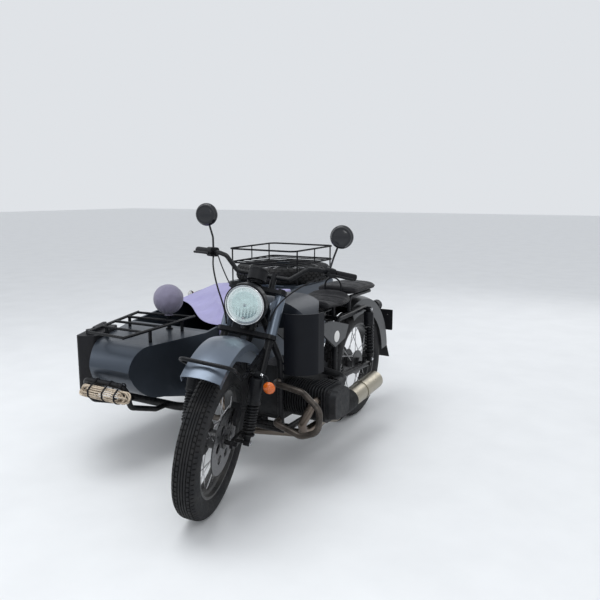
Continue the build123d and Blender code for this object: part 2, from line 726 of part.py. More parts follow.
# Exhaust: the right pipe crosses under the engine and joins the left one at the muffler
port = Vector(286, CRANK_Y - 92 - SEAT_GAP, CRANK_Z + 22)
pipe_front = -1026.0
muffler_start = Vector(236, -800, 268)
muffler_end = Vector(242, -186, 312)
muffler_dir = (muffler_end - muffler_start).normalized()
collector = muffler_start - muffler_dir * 40
with BuildPart() as exhaust_pipes:
    left_run = [
        port,
        Vector(port.X, pipe_front, port.Z),
        Vector(222, pipe_front, 300),
        Vector(206, -985, 240),
        muffler_start - muffler_dir * 110,
        muffler_start,
    ]
    add(tube(left_run, [22, 40, 40, 60], PIPE_R))
    right_run = [
        Vector(-port.X, port.Y, port.Z),
        Vector(-port.X, pipe_front, port.Z),
        Vector(-222, pipe_front, 300),
        Vector(-190, -1000, 192),
        Vector(140, -884, 192),
        Vector(206, -868, 230),
        collector,
    ]
    add(tube(right_run, [22, 40, 50, 45, 22], PIPE_R))
finish(exhaust_pipes.part, "exhaust_pipes")

with BuildPart() as muffler:
    with BuildSketch(Plane(origin=muffler_start + muffler_dir * SEAT_GAP, z_dir=muffler_dir)):
        Circle(PIPE_R + 7)
    with BuildSketch(Plane(origin=muffler_start + muffler_dir * 60, z_dir=muffler_dir)):
        Circle(MUFFLER_R)
    loft()
    with BuildSketch(Plane(origin=muffler_start + muffler_dir * 60, z_dir=muffler_dir)):
        Circle(MUFFLER_R)
    extrude(amount=540)
    with BuildSketch(Plane(origin=muffler_start + muffler_dir * 400, z_dir=muffler_dir)):
        Circle(MUFFLER_R + 3)
    extrude(amount=18)
    with BuildSketch(Plane(origin=muffler_start + muffler_dir * 600, z_dir=muffler_dir)):
        Circle(20)
    extrude(amount=-70, mode=Mode.SUBTRACT)
finish(muffler.part, "muffler")

# Crash bars in front of the cylinders
with BuildPart() as crash_bars:
    tube_face = -1030.6 - TUBE_R - SEAT_GAP
    loop = [
        Vector(down_x, tube_face, 500),
        Vector(down_x, BAR_FRONT_Y, 500),
        Vector(256, BAR_FRONT_Y, 480),
        Vector(352, BAR_FRONT_Y, 405),
        Vector(340, BAR_FRONT_Y, 300),
        Vector(250, BAR_FRONT_Y, 262),
        Vector(down_x, BAR_FRONT_Y, 303),
        Vector(down_x, tube_face + 3, 303),
    ]
    add(tube(loop, [22, 60, 60, 60, 60, 22], 15))
    mirror(about=Plane.YZ)
finish(crash_bars.part, "crash_bars")

with BuildPart() as leg_shields:
    with BuildSketch(Plane.XY.offset(535)):
        with BuildLine():
            outer = ThreePointArc((126, -1034), (208, -1022), (268, -950))
            wing = Line(outer @ 1, (272, -900))
            Polyline(wing @ 1, (267, -900), (263, -949))
            inner = ThreePointArc((263, -949), (205, -1017), (126, -1029))
            Line(inner @ 1, outer @ 0)
        make_face()
    extrude(amount=295)
    for z in (546, 586):
        add(rod((down_x + TUBE_R + 0.5, -1030, z), (150, -1030, z), 6))
    mirror(about=Plane.YZ)
finish(leg_shields.part, "leg_shields")

# Tank: the shape that its side, plan and end outlines share, with a tunnel for the backbone
with BuildPart() as fuel_tank:
    with BuildSketch(Plane.YZ):
        with BuildLine():
            front = ThreePointArc((-1020, 745), (-1012, 850), (-955, TANK_TOP - 8))
            top = ThreePointArc(front @ 1, (-860, TANK_TOP), (-765, TANK_TOP - 10))
            rear = ThreePointArc(top @ 1, (-680, 845), (-640, 745))
            Line(rear @ 1, front @ 0)
        make_face()
    extrude(amount=TANK_HALF_W, both=True)
    with BuildSketch(Plane.XY.offset(700)):
        with BuildLine():
            flank = ThreePointArc((98, -948), (TANK_HALF_W, -850), (92, -635))
            Line(flank @ 1, (-92, -635))
            far_flank = ThreePointArc((-92, -635), (-TANK_HALF_W, -850), (-98, -948))
            Polyline(far_flank @ 1, (-38, -1030), (38, -1030), flank @ 0)
        make_face()
    extrude(amount=250, mode=Mode.INTERSECT)
    with BuildSketch(Plane.XZ.offset(1100)):
        with BuildLine():
            dome = ThreePointArc((-TANK_HALF_W, 775), (0, TANK_TOP), (TANK_HALF_W, 775))
            Polyline(dome @ 1, (TANK_HALF_W - 12, 740), (12 - TANK_HALF_W, 740), dome @ 0)
        make_face()
    extrude(amount=-600, mode=Mode.INTERSECT)
    with BuildSketch(Plane.XZ.offset(1100)):
        with Locations((0, 775)):
            Rectangle(52, 130)
    extrude(amount=-600, mode=Mode.SUBTRACT)
    for y in (-930, -780):
        spine = SPINE_Z - (y - SPINE_Y) * spine_slope
        pad_z = spine + (SPINE_R + 0.6) / cos(atan2(spine_slope, 1)) + 10 * spine_slope
        add(rod((0, y, pad_z), (0, y, 845), 10))
finish(fuel_tank.part, "fuel_tank")

with BuildPart() as side_covers:
    with BuildSketch(Plane.YZ.offset(150)):
        with BuildLine():
            Polyline((-795, 728), (-600, 722), (-400, 668), (-440, 600), (-560, 572), close=True)
        make_face()
    extrude(amount=14)
    add(rod((115.8, -437, 612), (152, -437, 612), 8))
    mirror(about=Plane.YZ)
finish(side_covers.part, "side_covers")

# Saddles
with BuildPart() as rider_saddle:
    with BuildSketch(Plane.YZ):
        with BuildLine():
            seat_top = ThreePointArc((-632, 838), (-470, 804), (-285, 852))
            Polyline(seat_top @ 1, (-285, 800), (-330, 770), (-560, 765), (-634, 800), seat_top @ 0)
        make_face()
    extrude(amount=150, both=True)
    with BuildSketch(Plane.XY.offset(700)):
        with BuildLine():
            Polyline((70, -640), (122, -540), (146, -400), (140, -284), (-140, -284))
            Polyline((-140, -284), (-146, -400), (-122, -540), (-70, -640), (70, -640))
        make_face()
    extrude(amount=200, mode=Mode.INTERSECT)
    fillet(rider_saddle.edges().filter_by(Axis.Z), 18)
finish(rider_saddle.part, "rider_saddle")

with BuildPart() as pillion_saddle:
    with BuildSketch(Plane.XY.offset(806)):
        with Locations((0, -86)):
            RectangleRounded(258, 360, 60)
    extrude(amount=56)
    fillet(pillion_saddle.faces().sort_by(Axis.Z)[-1].edges(), 16)
finish(pillion_saddle.part, "pillion_saddle")

rail_x, saddle_z = 92, 806 - SEAT_GAP - 11
with BuildPart() as saddle_frame:
    for side in (-1, 1):
        add(rod((side * 60, -385, 704 + SEAT_GAP), (side * 60, -385, 768.2), 10))
        x = side * rail_x
        add(tube([(x, -250, 709.7), (x, -250, saddle_z), (x, 40, saddle_z)], 30, 11))
        add(rod((side * 52, -240, saddle_z), (side * 52, -281, saddle_z), 8))
    add(rod((-rail_x, -240, saddle_z), (rail_x, -240, saddle_z), 9))
    loop_z = saddle_z - 3
    add(tube([(-52, -275, loop_z), (-52, -275, 905), (52, -275, 905), (52, -275, loop_z)], 50, 5))
finish(saddle_frame.part, "saddle_frame")

with BuildPart() as rear_fender:
    add(fender(REAR_FENDER_R, REAR_FENDER_HALF_W, 105, 4, 66, 176).moved(Location(REAR_AXLE)))
finish(rear_fender.part, "rear_fender")

with BuildPart() as mudflap:
    with BuildSketch(Plane.YZ):
        with Locations((REAR_FENDER_R + FLAP_GAP, FLAP_FOOT)):
            Polygon((0, 119), (5, 119), (5.5, 92), (54.5, 3), (49.5, 0), (0.5, 89), align=None)
    extrude(amount=60, both=True)
    for x in (-20, 20):
        add(rod((x, REAR_FENDER_R - 2.2, FLAP_FOOT + 107), (x, REAR_FENDER_R + 4, FLAP_FOOT + 107), 5))
finish(mudflap.part, "mudflap")

# Rear suspension: the wheel's swing arm with its axle, the bevel drive and two shocks
arm_x = 100.0
with BuildPart() as swing_arm:
    pivot_end = down_x - TUBE_R - SEAT_GAP
    add(rod((-pivot_end, SWING_PIVOT_Y, SWING_PIVOT_Z), (pivot_end, SWING_PIVOT_Y, SWING_PIVOT_Z), 21))
    left_foot = (62, SWING_PIVOT_Y + 8, SWING_PIVOT_Z)
    right_foot = (-62, SWING_PIVOT_Y + 8, SWING_PIVOT_Z)
    drive_front = -DRIVE_R - SEAT_GAP
    add(tube([left_foot, (arm_x, -350, 352), (arm_x, 14, TYRE_R)], 60, 18))
    add(tube([right_foot, (-arm_x, -350, 352), (-arm_x, drive_front, 352)], 60, 18))
    add(rod((SEAT_GAP - DRIVE_X, 0, TYRE_R), (arm_x + 28, 0, TYRE_R), AXLE_R))
    add(rod((arm_x, rear_low.Y, rear_low.Z - 30), (arm_x, rear_low.Y, rear_low.Z + 8), 13))
    add(rod((arm_x, rear_low.Y, rear_low.Z), (rear_low.X + 16, rear_low.Y, rear_low.Z), SHOCK_PIN_R))
finish(swing_arm.part, "swing_arm")

with BuildPart() as final_drive:
    drive = [(-DRIVE_X, 0), (-DRIVE_X, 62), (-72, DRIVE_R), (-112, DRIVE_R), (-136, 60), (-140, 0)]
    add(turning(drive).moved(Location(REAR_AXLE)))
    add(rod((-arm_x, rear_low.Y, rear_low.Z), (-arm_x, rear_low.Y, rear_low.Z + DRIVE_EYE_RISE + 12), 13))
    eye_z = rear_low.Z + DRIVE_EYE_RISE
    add(rod((-arm_x, rear_low.Y, eye_z), (-rear_low.X - 16, rear_low.Y, eye_z), SHOCK_PIN_R))
finish(final_drive.part, "final_drive")

with BuildPart() as rear_shocks:
    for side in (-1, 1):
        low = Vector(side * rear_low.X, rear_low.Y, rear_low.Z + (DRIVE_EYE_RISE if side < 0 else 0))
        add(shock(low, Vector(side * rear_high.X, rear_high.Y, rear_high.Z), 9, 28, 0.3))
finish(rear_shocks.part, "rear_shocks")

ARM_LINE = -1056.0
TOWER_X = -1041.0
TOWER_Y = 75.0
side_low = Vector(ARM_LINE, -50, 356)
side_high = Vector(ARM_LINE, -50, 604)

# Sidecar chassis: a ring of tube with crossbars, struts to the motorcycle and a wheel arm
left_rail, right_rail, rail_z = LEFT_RAIL, -1000.0, RAIL_Z
rail_front, rail_rear = -1040.0, 440.0
with BuildPart() as sidecar_frame:
    rails = [
        (left_rail, rail_rear, rail_z),
        (left_rail, rail_front, rail_z),
        (right_rail, rail_front, rail_z),
        (right_rail, rail_rear, rail_z),
    ]
    add(tube(rails, 120, RAIL_R))
    for y in (-600, -90, rail_rear - 30):
        add(rod((left_rail, y, rail_z), (right_rail, y, rail_z), 18))
    for x in (left_rail, right_rail):
        for y in (-700, 300):
            with BuildSketch(Plane.XY.offset(rail_z)):
                with Locations((x + (24 if x == right_rail else -24), y)):
                    Rectangle(50, 60)
            extrude(amount=BODY_FLOOR - SEAT_GAP - rail_z)
    for start, end in STRUTS:
        add(rod(strut_joint(start, end) + (end - start).normalized() * SEAT_GAP, end, STRUT_R))
    with BuildSketch(Plane.XY.offset(rail_z - 12)):
        with Locations((TOW_X, rail_rear + 25)):
            Rectangle(60, 110)
        with Locations((TOW_X, TOW_Y)):
            Circle(TOW_BORE_R, mode=Mode.SUBTRACT)
    extrude(amount=12)
    add(rod((right_rail, TOWER_Y, rail_z), (TOWER_X, TOWER_Y, rail_z), 14))
    add(rod((TOWER_X, TOWER_Y, rail_z - 10), (TOWER_X, TOWER_Y, side_high.Z + 8), 9))
    with BuildSketch(across_x.offset(TOWER_X - 1)):
        with Locations(((TOWER_Y + side_high.Y - 8) / 2, side_high.Z)):
            Rectangle(TOWER_Y - side_high.Y + 8, 15)
    extrude(amount=6)
    add(rod((TOWER_X + 4, side_high.Y, side_high.Z), (ARM_LINE - 16, side_high.Y, side_high.Z), SHOCK_PIN_R))
finish(sidecar_frame.part, "sidecar_frame")

# Sidecar body: one shell whose side and plan outlines meet, open over the cockpit and the boot
with BuildPart() as sidecar_body:
    with BuildSketch(Plane.YZ):
        with BuildLine():
            floor = Line((-920, BODY_FLOOR), (560, BODY_FLOOR))
            tail = ThreePointArc(floor @ 1, (652, 338), (BODY_TAIL, 430))
            back = Line(tail @ 1, (BODY_TAIL, BOOT_RIM - STERN_R))
            stern = RadiusArc(back @ 1, (BODY_TAIL - STERN_R, BOOT_RIM), -STERN_R)
            rim = Polyline(stern @ 1, (HINGE_Y - 18, BOOT_RIM), (-60, BOOT_RIM), (COCKPIT_Y, DECK_Z))
            deck = Line(rim @ 1, (-1240, DECK_Z - 4))
            brow = ThreePointArc(deck @ 1, (-1338, 612), (NOSE_Y, 530))
            chin = ThreePointArc(brow @ 1, (-1330, 430), (-1180, 362))
            Line(chin @ 1, floor @ 0)
        make_face()
    extrude(amount=-1100)
    with BuildSketch(Plane.XY.offset(200)):
        with BuildLine():
            plan = Polyline(
                (BODY_LEFT, 600),
                (BODY_LEFT, COCKPIT_Y),
                (NOSE_LEFT, NOSE_Y - 5),
                (NOSE_RIGHT, NOSE_Y - 5),
                (BODY_RIGHT, COCKPIT_Y),
                (BODY_RIGHT, 600),
            )
            far_corner = ThreePointArc(plan @ 1, (BODY_RIGHT + 26, 662), (BODY_RIGHT + 90, BODY_TAIL))
            stern_line = Line(far_corner @ 1, (BODY_LEFT - 90, BODY_TAIL))
            ThreePointArc(stern_line @ 1, (BODY_LEFT - 26, 662), plan @ 0)
        make_face()
    extrude(amount=700, mode=Mode.INTERSECT)
    inside_left, inside_right = BODY_LEFT - BODY_WALL, BODY_RIGHT + BODY_WALL
    inside_floor = BODY_FLOOR + BODY_WALL
    with BuildSketch(Plane.YZ.offset(inside_left)):
        Polygon(
            (COCKPIT_Y + 30, inside_floor),
            (HINGE_Y - 40, inside_floor),
            (HINGE_Y - 40, 900),
            (COCKPIT_Y + 30, 900),
            align=None,
        )
    extrude(amount=inside_right - inside_left, mode=Mode.SUBTRACT)
    with BuildSketch(Plane.YZ.offset(NOSE_LEFT - BODY_WALL)):
        Polygon(
            (COCKPIT_Y + 40, inside_floor),
            (COCKPIT_Y + 40, DECK_Z - BODY_WALL - 4),
            (-1245, DECK_Z - BODY_WALL - 4),
            (-1345, 570),
            (-1362, 520),
            (-1300, 435),
            (-1170, 378),
            (-905, inside_floor),
            align=None,
        )
    extrude(amount=NOSE_RIGHT - NOSE_LEFT + 2 * BODY_WALL, mode=Mode.SUBTRACT)
    with BuildSketch(Plane.XY.offset(BODY_FLOOR + BODY_WALL + 16)):
        with Locations(((inside_left + inside_right) / 2, (HINGE_Y + 30 + 660) / 2)):
            Rectangle(inside_left - inside_right - 40, 660 - HINGE_Y - 30)
    extrude(amount=500, mode=Mode.SUBTRACT)
    for x in HINGE_X:
        with BuildSketch(Plane.YZ.offset(x - HINGE_POST_W / 2)):
            with Locations((HINGE_Y - 1.4, (BOOT_TOP + BOOT_RIM) / 2 - 1)):
                Rectangle(3, BOOT_TOP - BOOT_RIM + 2)
            with Locations((HINGE_Y, BOOT_TOP)):
                Circle(KNUCKLE_R - 1.6)
        extrude(amount=HINGE_POST_W)
finish(sidecar_body.part, "sidecar_body")

with BuildPart() as boot_lid:
    with BuildSketch(Plane.YZ.offset(BODY_LEFT - 12)):
        with BuildLine():
            lid_r = STERN_R + SEAT_GAP
            corner = Vector(BODY_TAIL - STERN_R, BOOT_RIM - STERN_R)
            low_edge = Line((HINGE_Y + 4, BOOT_RIM + SEAT_GAP), (corner.X, BOOT_RIM + SEAT_GAP))
            low_arc = RadiusArc(low_edge @ 1, (corner.X + lid_r, corner.Y), STERN_R + SEAT_GAP)
            hem = Line(low_arc @ 1, (corner.X + lid_r + LID_T, corner.Y))
            top_arc = RadiusArc(hem @ 1, (corner.X, BOOT_TOP), -(lid_r + LID_T))
            Polyline(top_arc @ 1, (HINGE_Y + 4, BOOT_TOP), low_edge @ 0)
        make_face()
    extrude(amount=BODY_RIGHT - BODY_LEFT + 24)
    with BuildSketch(Plane.XY.offset(600)):
        with Locations(((BODY_LEFT + BODY_RIGHT) / 2, (HINGE_Y + 4 + BODY_TAIL + 12) / 2)):
            RectangleRounded(BODY_LEFT - BODY_RIGHT - 24, BODY_TAIL + 8 - HINGE_Y, 70)
    extrude(amount=300, mode=Mode.INTERSECT)
    for x in HINGE_X:
        for side in (-1, 1):
            near = x + side * (HINGE_POST_W / 2 + SEAT_GAP)
            add(rod((near, HINGE_Y, BOOT_TOP), (near + side * KNUCKLE_L, HINGE_Y, BOOT_TOP), KNUCKLE_R))
    spare_top = SPARE_CENTRE.Z + HUB_W / 2 + SEAT_GAP
    spare_x, spare_y = SPARE_CENTRE.X, SPARE_CENTRE.Y
    add(rod((spare_x, spare_y, BOOT_TOP - 4), (spare_x, spare_y, spare_top + 4), AXLE_R))
    with BuildSketch(Plane.XY.offset(spare_top)):
        with Locations((SPARE_CENTRE.X, SPARE_CENTRE.Y)):
            SlotOverall(110, 30)
    extrude(amount=16)
finish(boot_lid.part, "boot_lid")

rack_left, rack_right = -476.0, -1008.0
rack_middle = (rack_left + rack_right) / 2
rack_front, rack_rear = 84.0, 664.0
rack_low, rack_top = 908.0, 1004.0
with BuildPart() as boot_rack:
    for z in (rack_low, rack_top):
        for x in (rack_left, rack_right):
            half = [(rack_middle, rack_front, z), (x, rack_front, z)]
            half += [(x, rack_rear, z), (rack_middle, rack_rear, z)]
            add(tube(half, 46, 6))
    for x in (rack_left, rack_right):
        for y, drop in ((rack_front + 46, 0), (BODY_TAIL - STERN_R + 22, 1.1)):
            add(rod((x, y, BOOT_TOP + SEAT_GAP - drop), (x, y, rack_top), 5))
        add(rod((x, (rack_front + rack_rear) / 2, rack_low), (x, (rack_front + rack_rear) / 2, rack_top), 4))
    for number in range(1, 6):
        y = rack_front + number * (rack_rear - rack_front) / 6
        add(rod((rack_left, y, rack_low), (rack_right, y, rack_low), 4))
finish(boot_rack.part, "boot_rack")

# Tonneau: a cloth drawn over the cockpit from its front edge up to the seat back
rim_slope = (BOOT_RIM - DECK_Z) / (-60 - COCKPIT_Y)
hem_y, far_hem_y, crest_y, cloth_rear, cloth_t = -772.0, -440.0, -60.0, 2.0, 8.0
hem_z = DECK_Z + (hem_y - COCKPIT_Y) * rim_slope + 1
crest_z = BOOT_RIM + 1
with BuildPart() as tonneau:
    with BuildSketch(Plane.YZ.offset(BODY_LEFT + 6)):
        Polygon(
            (hem_y, hem_z),
            (crest_y, crest_z),
            (cloth_rear, crest_z),
            (cloth_rear, crest_z + cloth_t),
            (crest_y - 2, crest_z + cloth_t),
            (hem_y, hem_z + cloth_t),
            align=None,
        )
    extrude(amount=BODY_RIGHT - BODY_LEFT - 12)
    for start in (BODY_LEFT + SEAT_GAP, BODY_RIGHT - 6):
        with BuildSketch(Plane.YZ.offset(start)):
            Polygon(
                (hem_y, hem_z - 66),
                (crest_y, crest_z - 66),
                (cloth_rear, crest_z - 66),
                (cloth_rear, crest_z + cloth_t),
                (crest_y - 2, crest_z + cloth_t),
                (hem_y, hem_z + cloth_t),
                align=None,
            )
        extrude(amount=6 - SEAT_GAP)
    with BuildSketch(Plane.XY.offset(500)):
        Polygon(
            (BODY_LEFT + 20, hem_y),
            (BODY_LEFT + 20, -900),
            (BODY_RIGHT - 20, -900),
            (BODY_RIGHT - 20, far_hem_y),
            align=None,
        )
    extrude(amount=400, mode=Mode.SUBTRACT)
finish(tonneau.part, "tonneau")

# Nose rack on stand-offs, following the tapered deck
rack_z = 705.0
near_bar = ((-552, -1396, rack_z), (-604, -800, rack_z))
far_bar = ((-806, -1384, rack_z), (-980, -850, rack_z))


def on_bar(bar, share):
    """A point this share of the way along a bar, from its front end."""
    start, end = Vector(*bar[0]), Vector(*bar[1])
    return start + (end - start) * share


with BuildPart() as nose_rack:
    add(rod(*near_bar, 8))
    add(rod(*far_bar, 8))
    for share in (0.01, 0.25, 0.5, 0.74, 0.97):
        add(rod(on_bar(near_bar, share), on_bar(far_bar, share), 7))
    for bar in (near_bar, far_bar):
        for share in (0.34, 0.8):
            foot = on_bar(bar, share)
            deck = DECK_Z - 4 * (COCKPIT_Y - foot.Y) / (COCKPIT_Y + 1240)
            add(rod((foot.X, foot.Y, deck + SEAT_GAP), foot, 9))
finish(nose_rack.part, "nose_rack")

LIGHT_R = 84.0
light_at = Vector(-698, -904, 812)
with BuildPart() as spotlight:
    with BuildSketch(Plane.YZ.offset(light_at.X)):
        with BuildLine():
            half = ThreePointArc(
                (light_at.Y, light_at.Z - LIGHT_R),
                (light_at.Y + LIGHT_R, light_at.Z),
                (light_at.Y, light_at.Z + LIGHT_R),
            )
            Line(half @ 1, half @ 0)
        make_face()
    revolve(axis=Axis(light_at, (0, 0, 1)))
    add(rod((light_at.X, light_at.Y, DECK_Z + 2), (light_at.X, light_at.Y, light_at.Z - LIGHT_R + 6), 11))
    with BuildSketch(Plane.XY.offset(DECK_Z + SEAT_GAP)):
        with Locations((light_at.X, light_at.Y - 14)):
            RectangleRounded(60, 28, 8)
    extrude(amount=5)
finish(spotlight.part, "spotlight")

# Tube guard under the nose, with a hank of rope lashed below its front bar
guard_front_y, guard_front_z, nose_guard_r = -1402.0, 465.0, 14.0
guard_knee_y, guard_knee_z = -1345.0, 340.0
with BuildPart() as nose_guard:
    ring_front = rail_front - RAIL_R - SEAT_GAP
    run = [
        (-610, ring_front, rail_z),
        (-610, -1130, rail_z),
        (-575, guard_knee_y, guard_knee_z),
        (-548, guard_front_y, guard_front_z),
        (-826, guard_front_y, guard_front_z),
        (-840, guard_knee_y, guard_knee_z),
        (-850, -1130, rail_z),
        (-850, ring_front, rail_z),
    ]
    add(tube(run, [60, 60, 38, 38, 60, 60], nose_guard_r))
finish(nose_guard.part, "nose_guard")

HANK_R = 33.0
guard_lean = atan2(guard_knee_y - guard_front_y, guard_front_z - guard_knee_z)
hank_turn = radians(37)
hank_off = (HANK_R + nose_guard_r + SEAT_GAP) / sin(guard_lean + hank_turn)
hank_y = guard_front_y - hank_off * sin(hank_turn)
hank_z = guard_front_z - hank_off * cos(hank_turn)
with BuildPart() as rope_hank:
    add(rod((-480, hank_y, hank_z), (-825, hank_y, hank_z), HANK_R))
    fillet(rope_hank.edges().filter_by(GeomType.CIRCLE), HANK_R - 9)
finish(rope_hank.part, "rope_hank")

# A fuel can in its carrier on the tapered far side of the nose
side_dir = (Vector(BODY_RIGHT, COCKPIT_Y) - Vector(NOSE_RIGHT, NOSE_Y - 5)).normalized()
side_out = Vector(-side_dir.Y, side_dir.X)
can_l, can_t, can_h, can_z = 300.0, 110.0, 310.0, 352.0
can_mid = Vector(NOSE_RIGHT, NOSE_Y - 5) + side_dir * 250 + side_out * (SEAT_GAP + can_t / 2)
can_plane = Plane(origin=(can_mid.X, can_mid.Y, can_z), x_dir=(side_dir.X, side_dir.Y, 0), z_dir=(0, 0, 1))
with BuildPart() as fuel_can:
    with BuildSketch(can_plane):
        RectangleRounded(can_l, can_t, 22)
    extrude(amount=can_h)
    with BuildSketch(can_plane.offset(can_h - 1)):
        with Locations((-90, 0)):
            Circle(22)
    extrude(amount=24)
    with BuildSketch(can_plane.offset(can_h - 1)):
        with Locations((30, 0)):
            SlotOverall(150, 22)
    extrude(amount=26)
finish(fuel_can.part, "fuel_can")

# Sidecar wheel arm with its stub axle, a shock and a fender on spacers
with BuildPart() as sidecar_arm:
    arm_end = (ARM_LINE, SIDECAR_LEAD + 8, TYRE_R)
    add(tube([(ARM_LINE, -330, rail_z), (ARM_LINE, -130, 300), arm_end], 120, 15))
    add(rod((right_rail - RAIL_R - SEAT_GAP, -330, rail_z), (ARM_LINE, -330, rail_z), 16))
    hub_face = -TRACK - HUB_W / 2
    add(rod((ARM_LINE, SIDECAR_LEAD, TYRE_R), (hub_face - 12, SIDECAR_LEAD, TYRE_R), AXLE_R))
    add(rod((hub_face - 1, SIDECAR_LEAD, TYRE_R), (hub_face - 13, SIDECAR_LEAD, TYRE_R), 17))
    with BuildSketch(across_x.offset(ARM_LINE - 21)):
        with Locations((side_low.Y, side_low.Z - 18)):
            SlotOverall(64, 26, rotation=90)
    extrude(amount=7.7)
    add(rod((ARM_LINE - 17, side_low.Y, side_low.Z), (ARM_LINE + 13, side_low.Y, side_low.Z), SHOCK_PIN_R))
finish(sidecar_arm.part, "sidecar_arm")

with BuildPart() as sidecar_shock:
    add(shock(side_low, side_high, 9, 20, 0.3))
finish(sidecar_shock.part, "sidecar_shock")

with BuildPart() as sidecar_fender:
    arch = fender(SIDE_FENDER_R, 72, 64, 4, 24, 172)
    add(arch.moved(Location(SIDECAR_AXLE)))
    for angle in (60, 120):
        y = SIDECAR_LEAD - 345 * cos(radians(angle))
        z = TYRE_R + 345 * sin(radians(angle))
        add(rod((BODY_RIGHT - SEAT_GAP, y, z), (-TRACK + 70, y, z), 11))
finish(sidecar_fender.part, "sidecar_fender")

with BuildPart() as marker_lamps:
    for angle in (62, 124):
        out = Vector(0, -cos(radians(angle)), sin(radians(angle)))
        foot = SIDECAR_AXLE + out * (SIDE_FENDER_R + SEAT_GAP)
        lamp = foot + out * 38
        add(rod(foot, lamp, 11))
        add(rod(lamp - Vector(0, 20, 0), lamp + Vector(0, 20, 0), 21))
finish(marker_lamps.part, "marker_lamps")

with BuildPart() as tail_lamp:
    out = Vector(0, -cos(radians(140)), sin(radians(140)))
    foot = REAR_AXLE + out * (REAR_FENDER_R + SEAT_GAP)
    lamp = foot + out * 52
    add(rod(foot, lamp, 14))
    add(rod(lamp - Vector(0, 26, 0), lamp + Vector(0, 26, 0), 36))
    add(rod(lamp + Vector(0, 18, -10), (0, 433, 585), 8))
    with BuildSketch(Plane.XZ.offset(-431)):
        with Locations((0, 540)):
            RectangleRounded(190, 140, 6)
        with Locations((-PLATE_HOLE_X, 575), (PLATE_HOLE_X, 575)):
            Circle(PLATE_HOLE_R, mode=Mode.SUBTRACT)
    extrude(amount=-4)
finish(tail_lamp.part, "tail_lamp")

# Centre stand, folded back under the frame
with BuildPart() as centre_stand:
    add(rod((-STAND_X - 12, STAND_Y, STAND_Z), (STAND_X + 12, STAND_Y, STAND_Z), STAND_PIN_R))
    add(rod((SEAT_GAP - STAND_X, STAND_Y, STAND_Z), (STAND_X - SEAT_GAP, STAND_Y, STAND_Z), 15))
    for side in (-1, 1):
        heel = Vector(side * 92, STAND_Y + STAND_REACH - 14, STAND_Z - 6)
        add(rod((side * 74, STAND_Y, STAND_Z), heel, 11))
        add(rod(heel - Vector(0, 20, 6), heel + Vector(0, 12, -6), 14))
finish(centre_stand.part, "centre_stand")

# A perforated guard over the muffler's front
with BuildPart() as heat_shield:
    guard_plane = Plane(origin=muffler_start + muffler_dir * 74, x_dir=(1, 0, 0), z_dir=muffler_dir)
    with BuildSketch(guard_plane):
        Circle(MUFFLER_R + SEAT_GAP + 4)
        Circle(MUFFLER_R + SEAT_GAP, mode=Mode.SUBTRACT)
        with Locations((-60, -30)):
            Rectangle(120, 200, mode=Mode.SUBTRACT)
    extrude(amount=190)
finish(heat_shield.part, "heat_shield")
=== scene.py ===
"""The looks of the sidecar motorcycle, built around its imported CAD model.

Places are given in the CAD source's millimetres (X = 0 is the motorcycle's centre plane,
Y = 0 its rear axle, Z = 0 the ground) and become the row frame's metres as a piece is made.
"""

from math import acos, atan2, copysign, cos, exp, hypot, pi, radians, sin, sqrt, tau

import bmesh
import bpy
from mathutils import Matrix, Vector, noise


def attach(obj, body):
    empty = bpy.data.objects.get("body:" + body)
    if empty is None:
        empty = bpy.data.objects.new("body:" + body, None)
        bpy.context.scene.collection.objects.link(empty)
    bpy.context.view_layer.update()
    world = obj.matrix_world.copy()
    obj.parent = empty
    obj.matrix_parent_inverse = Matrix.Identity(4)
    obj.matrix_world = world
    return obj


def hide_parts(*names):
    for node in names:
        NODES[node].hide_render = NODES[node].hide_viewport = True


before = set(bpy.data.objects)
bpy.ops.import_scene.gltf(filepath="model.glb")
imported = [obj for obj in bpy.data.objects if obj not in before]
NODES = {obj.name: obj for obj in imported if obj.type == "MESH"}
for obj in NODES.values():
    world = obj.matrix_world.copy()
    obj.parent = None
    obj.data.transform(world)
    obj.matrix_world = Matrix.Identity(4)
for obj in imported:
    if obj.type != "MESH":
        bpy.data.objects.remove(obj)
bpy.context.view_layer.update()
SCENE = bpy.context.scene
MM = 1000
X, Y, Z = Vector((1, 0, 0)), Vector((0, 1, 0)), Vector((0, 0, 1))

# The source's frame: where the row frame's origin lies in it, and how the front is steered at rest
ORIGIN = Vector((-411, -536, 0))
RAKE = radians(27)
STEER = radians(19)
STEER_RISE = 1.5
AXIS = Vector((0, sin(RAKE), cos(RAKE)))
AHEAD = Vector((0, -cos(RAKE), sin(RAKE)))
FOOT = Vector((0, -1535, 0))
TURN = (
    Matrix.Translation(AXIS * STEER_RISE)
    @ Matrix.Translation(FOOT)
    @ Matrix.Rotation(STEER, 4, AXIS)
    @ Matrix.Translation(-FOOT)
)
FRONT_AXLE = Vector((0, -1470, 340))
REAR_AXLE = Vector((0, 0, 340))
SIDECAR_AXLE = Vector((-1140, 15, 340))
SPARE_CENTRE = Vector((-742, 385, 827.3))
LAMP = Vector((0, -1246, 899))
SIDECAR_FENDER_R = 378.3
REAR_FENDER_R = 420.3


def to_row(point):
    """A point of the source, in millimetres, in the row frame's metres."""
    return (Vector(point) - ORIGIN) / MM


def to_source(point):
    """A point of the row frame, in metres, in the source's millimetres."""
    return point * MM + ORIGIN


def smooth(low, high, value):
    """Rises from 0 at low to 1 at high, or falls where high is the smaller."""
    t = max(0.0, min(1.0, (value - low) / (high - low)))
    return t * t * (3 - 2 * t)


def wave_at(x, y, z):
    """A soft uneven number about 0, the same each run."""
    return noise.noise(Vector((x, y, z)))


def put(name, data):
    """A new object in the scene."""
    obj = bpy.data.objects.new(name, data)
    SCENE.collection.objects.link(obj)
    return obj


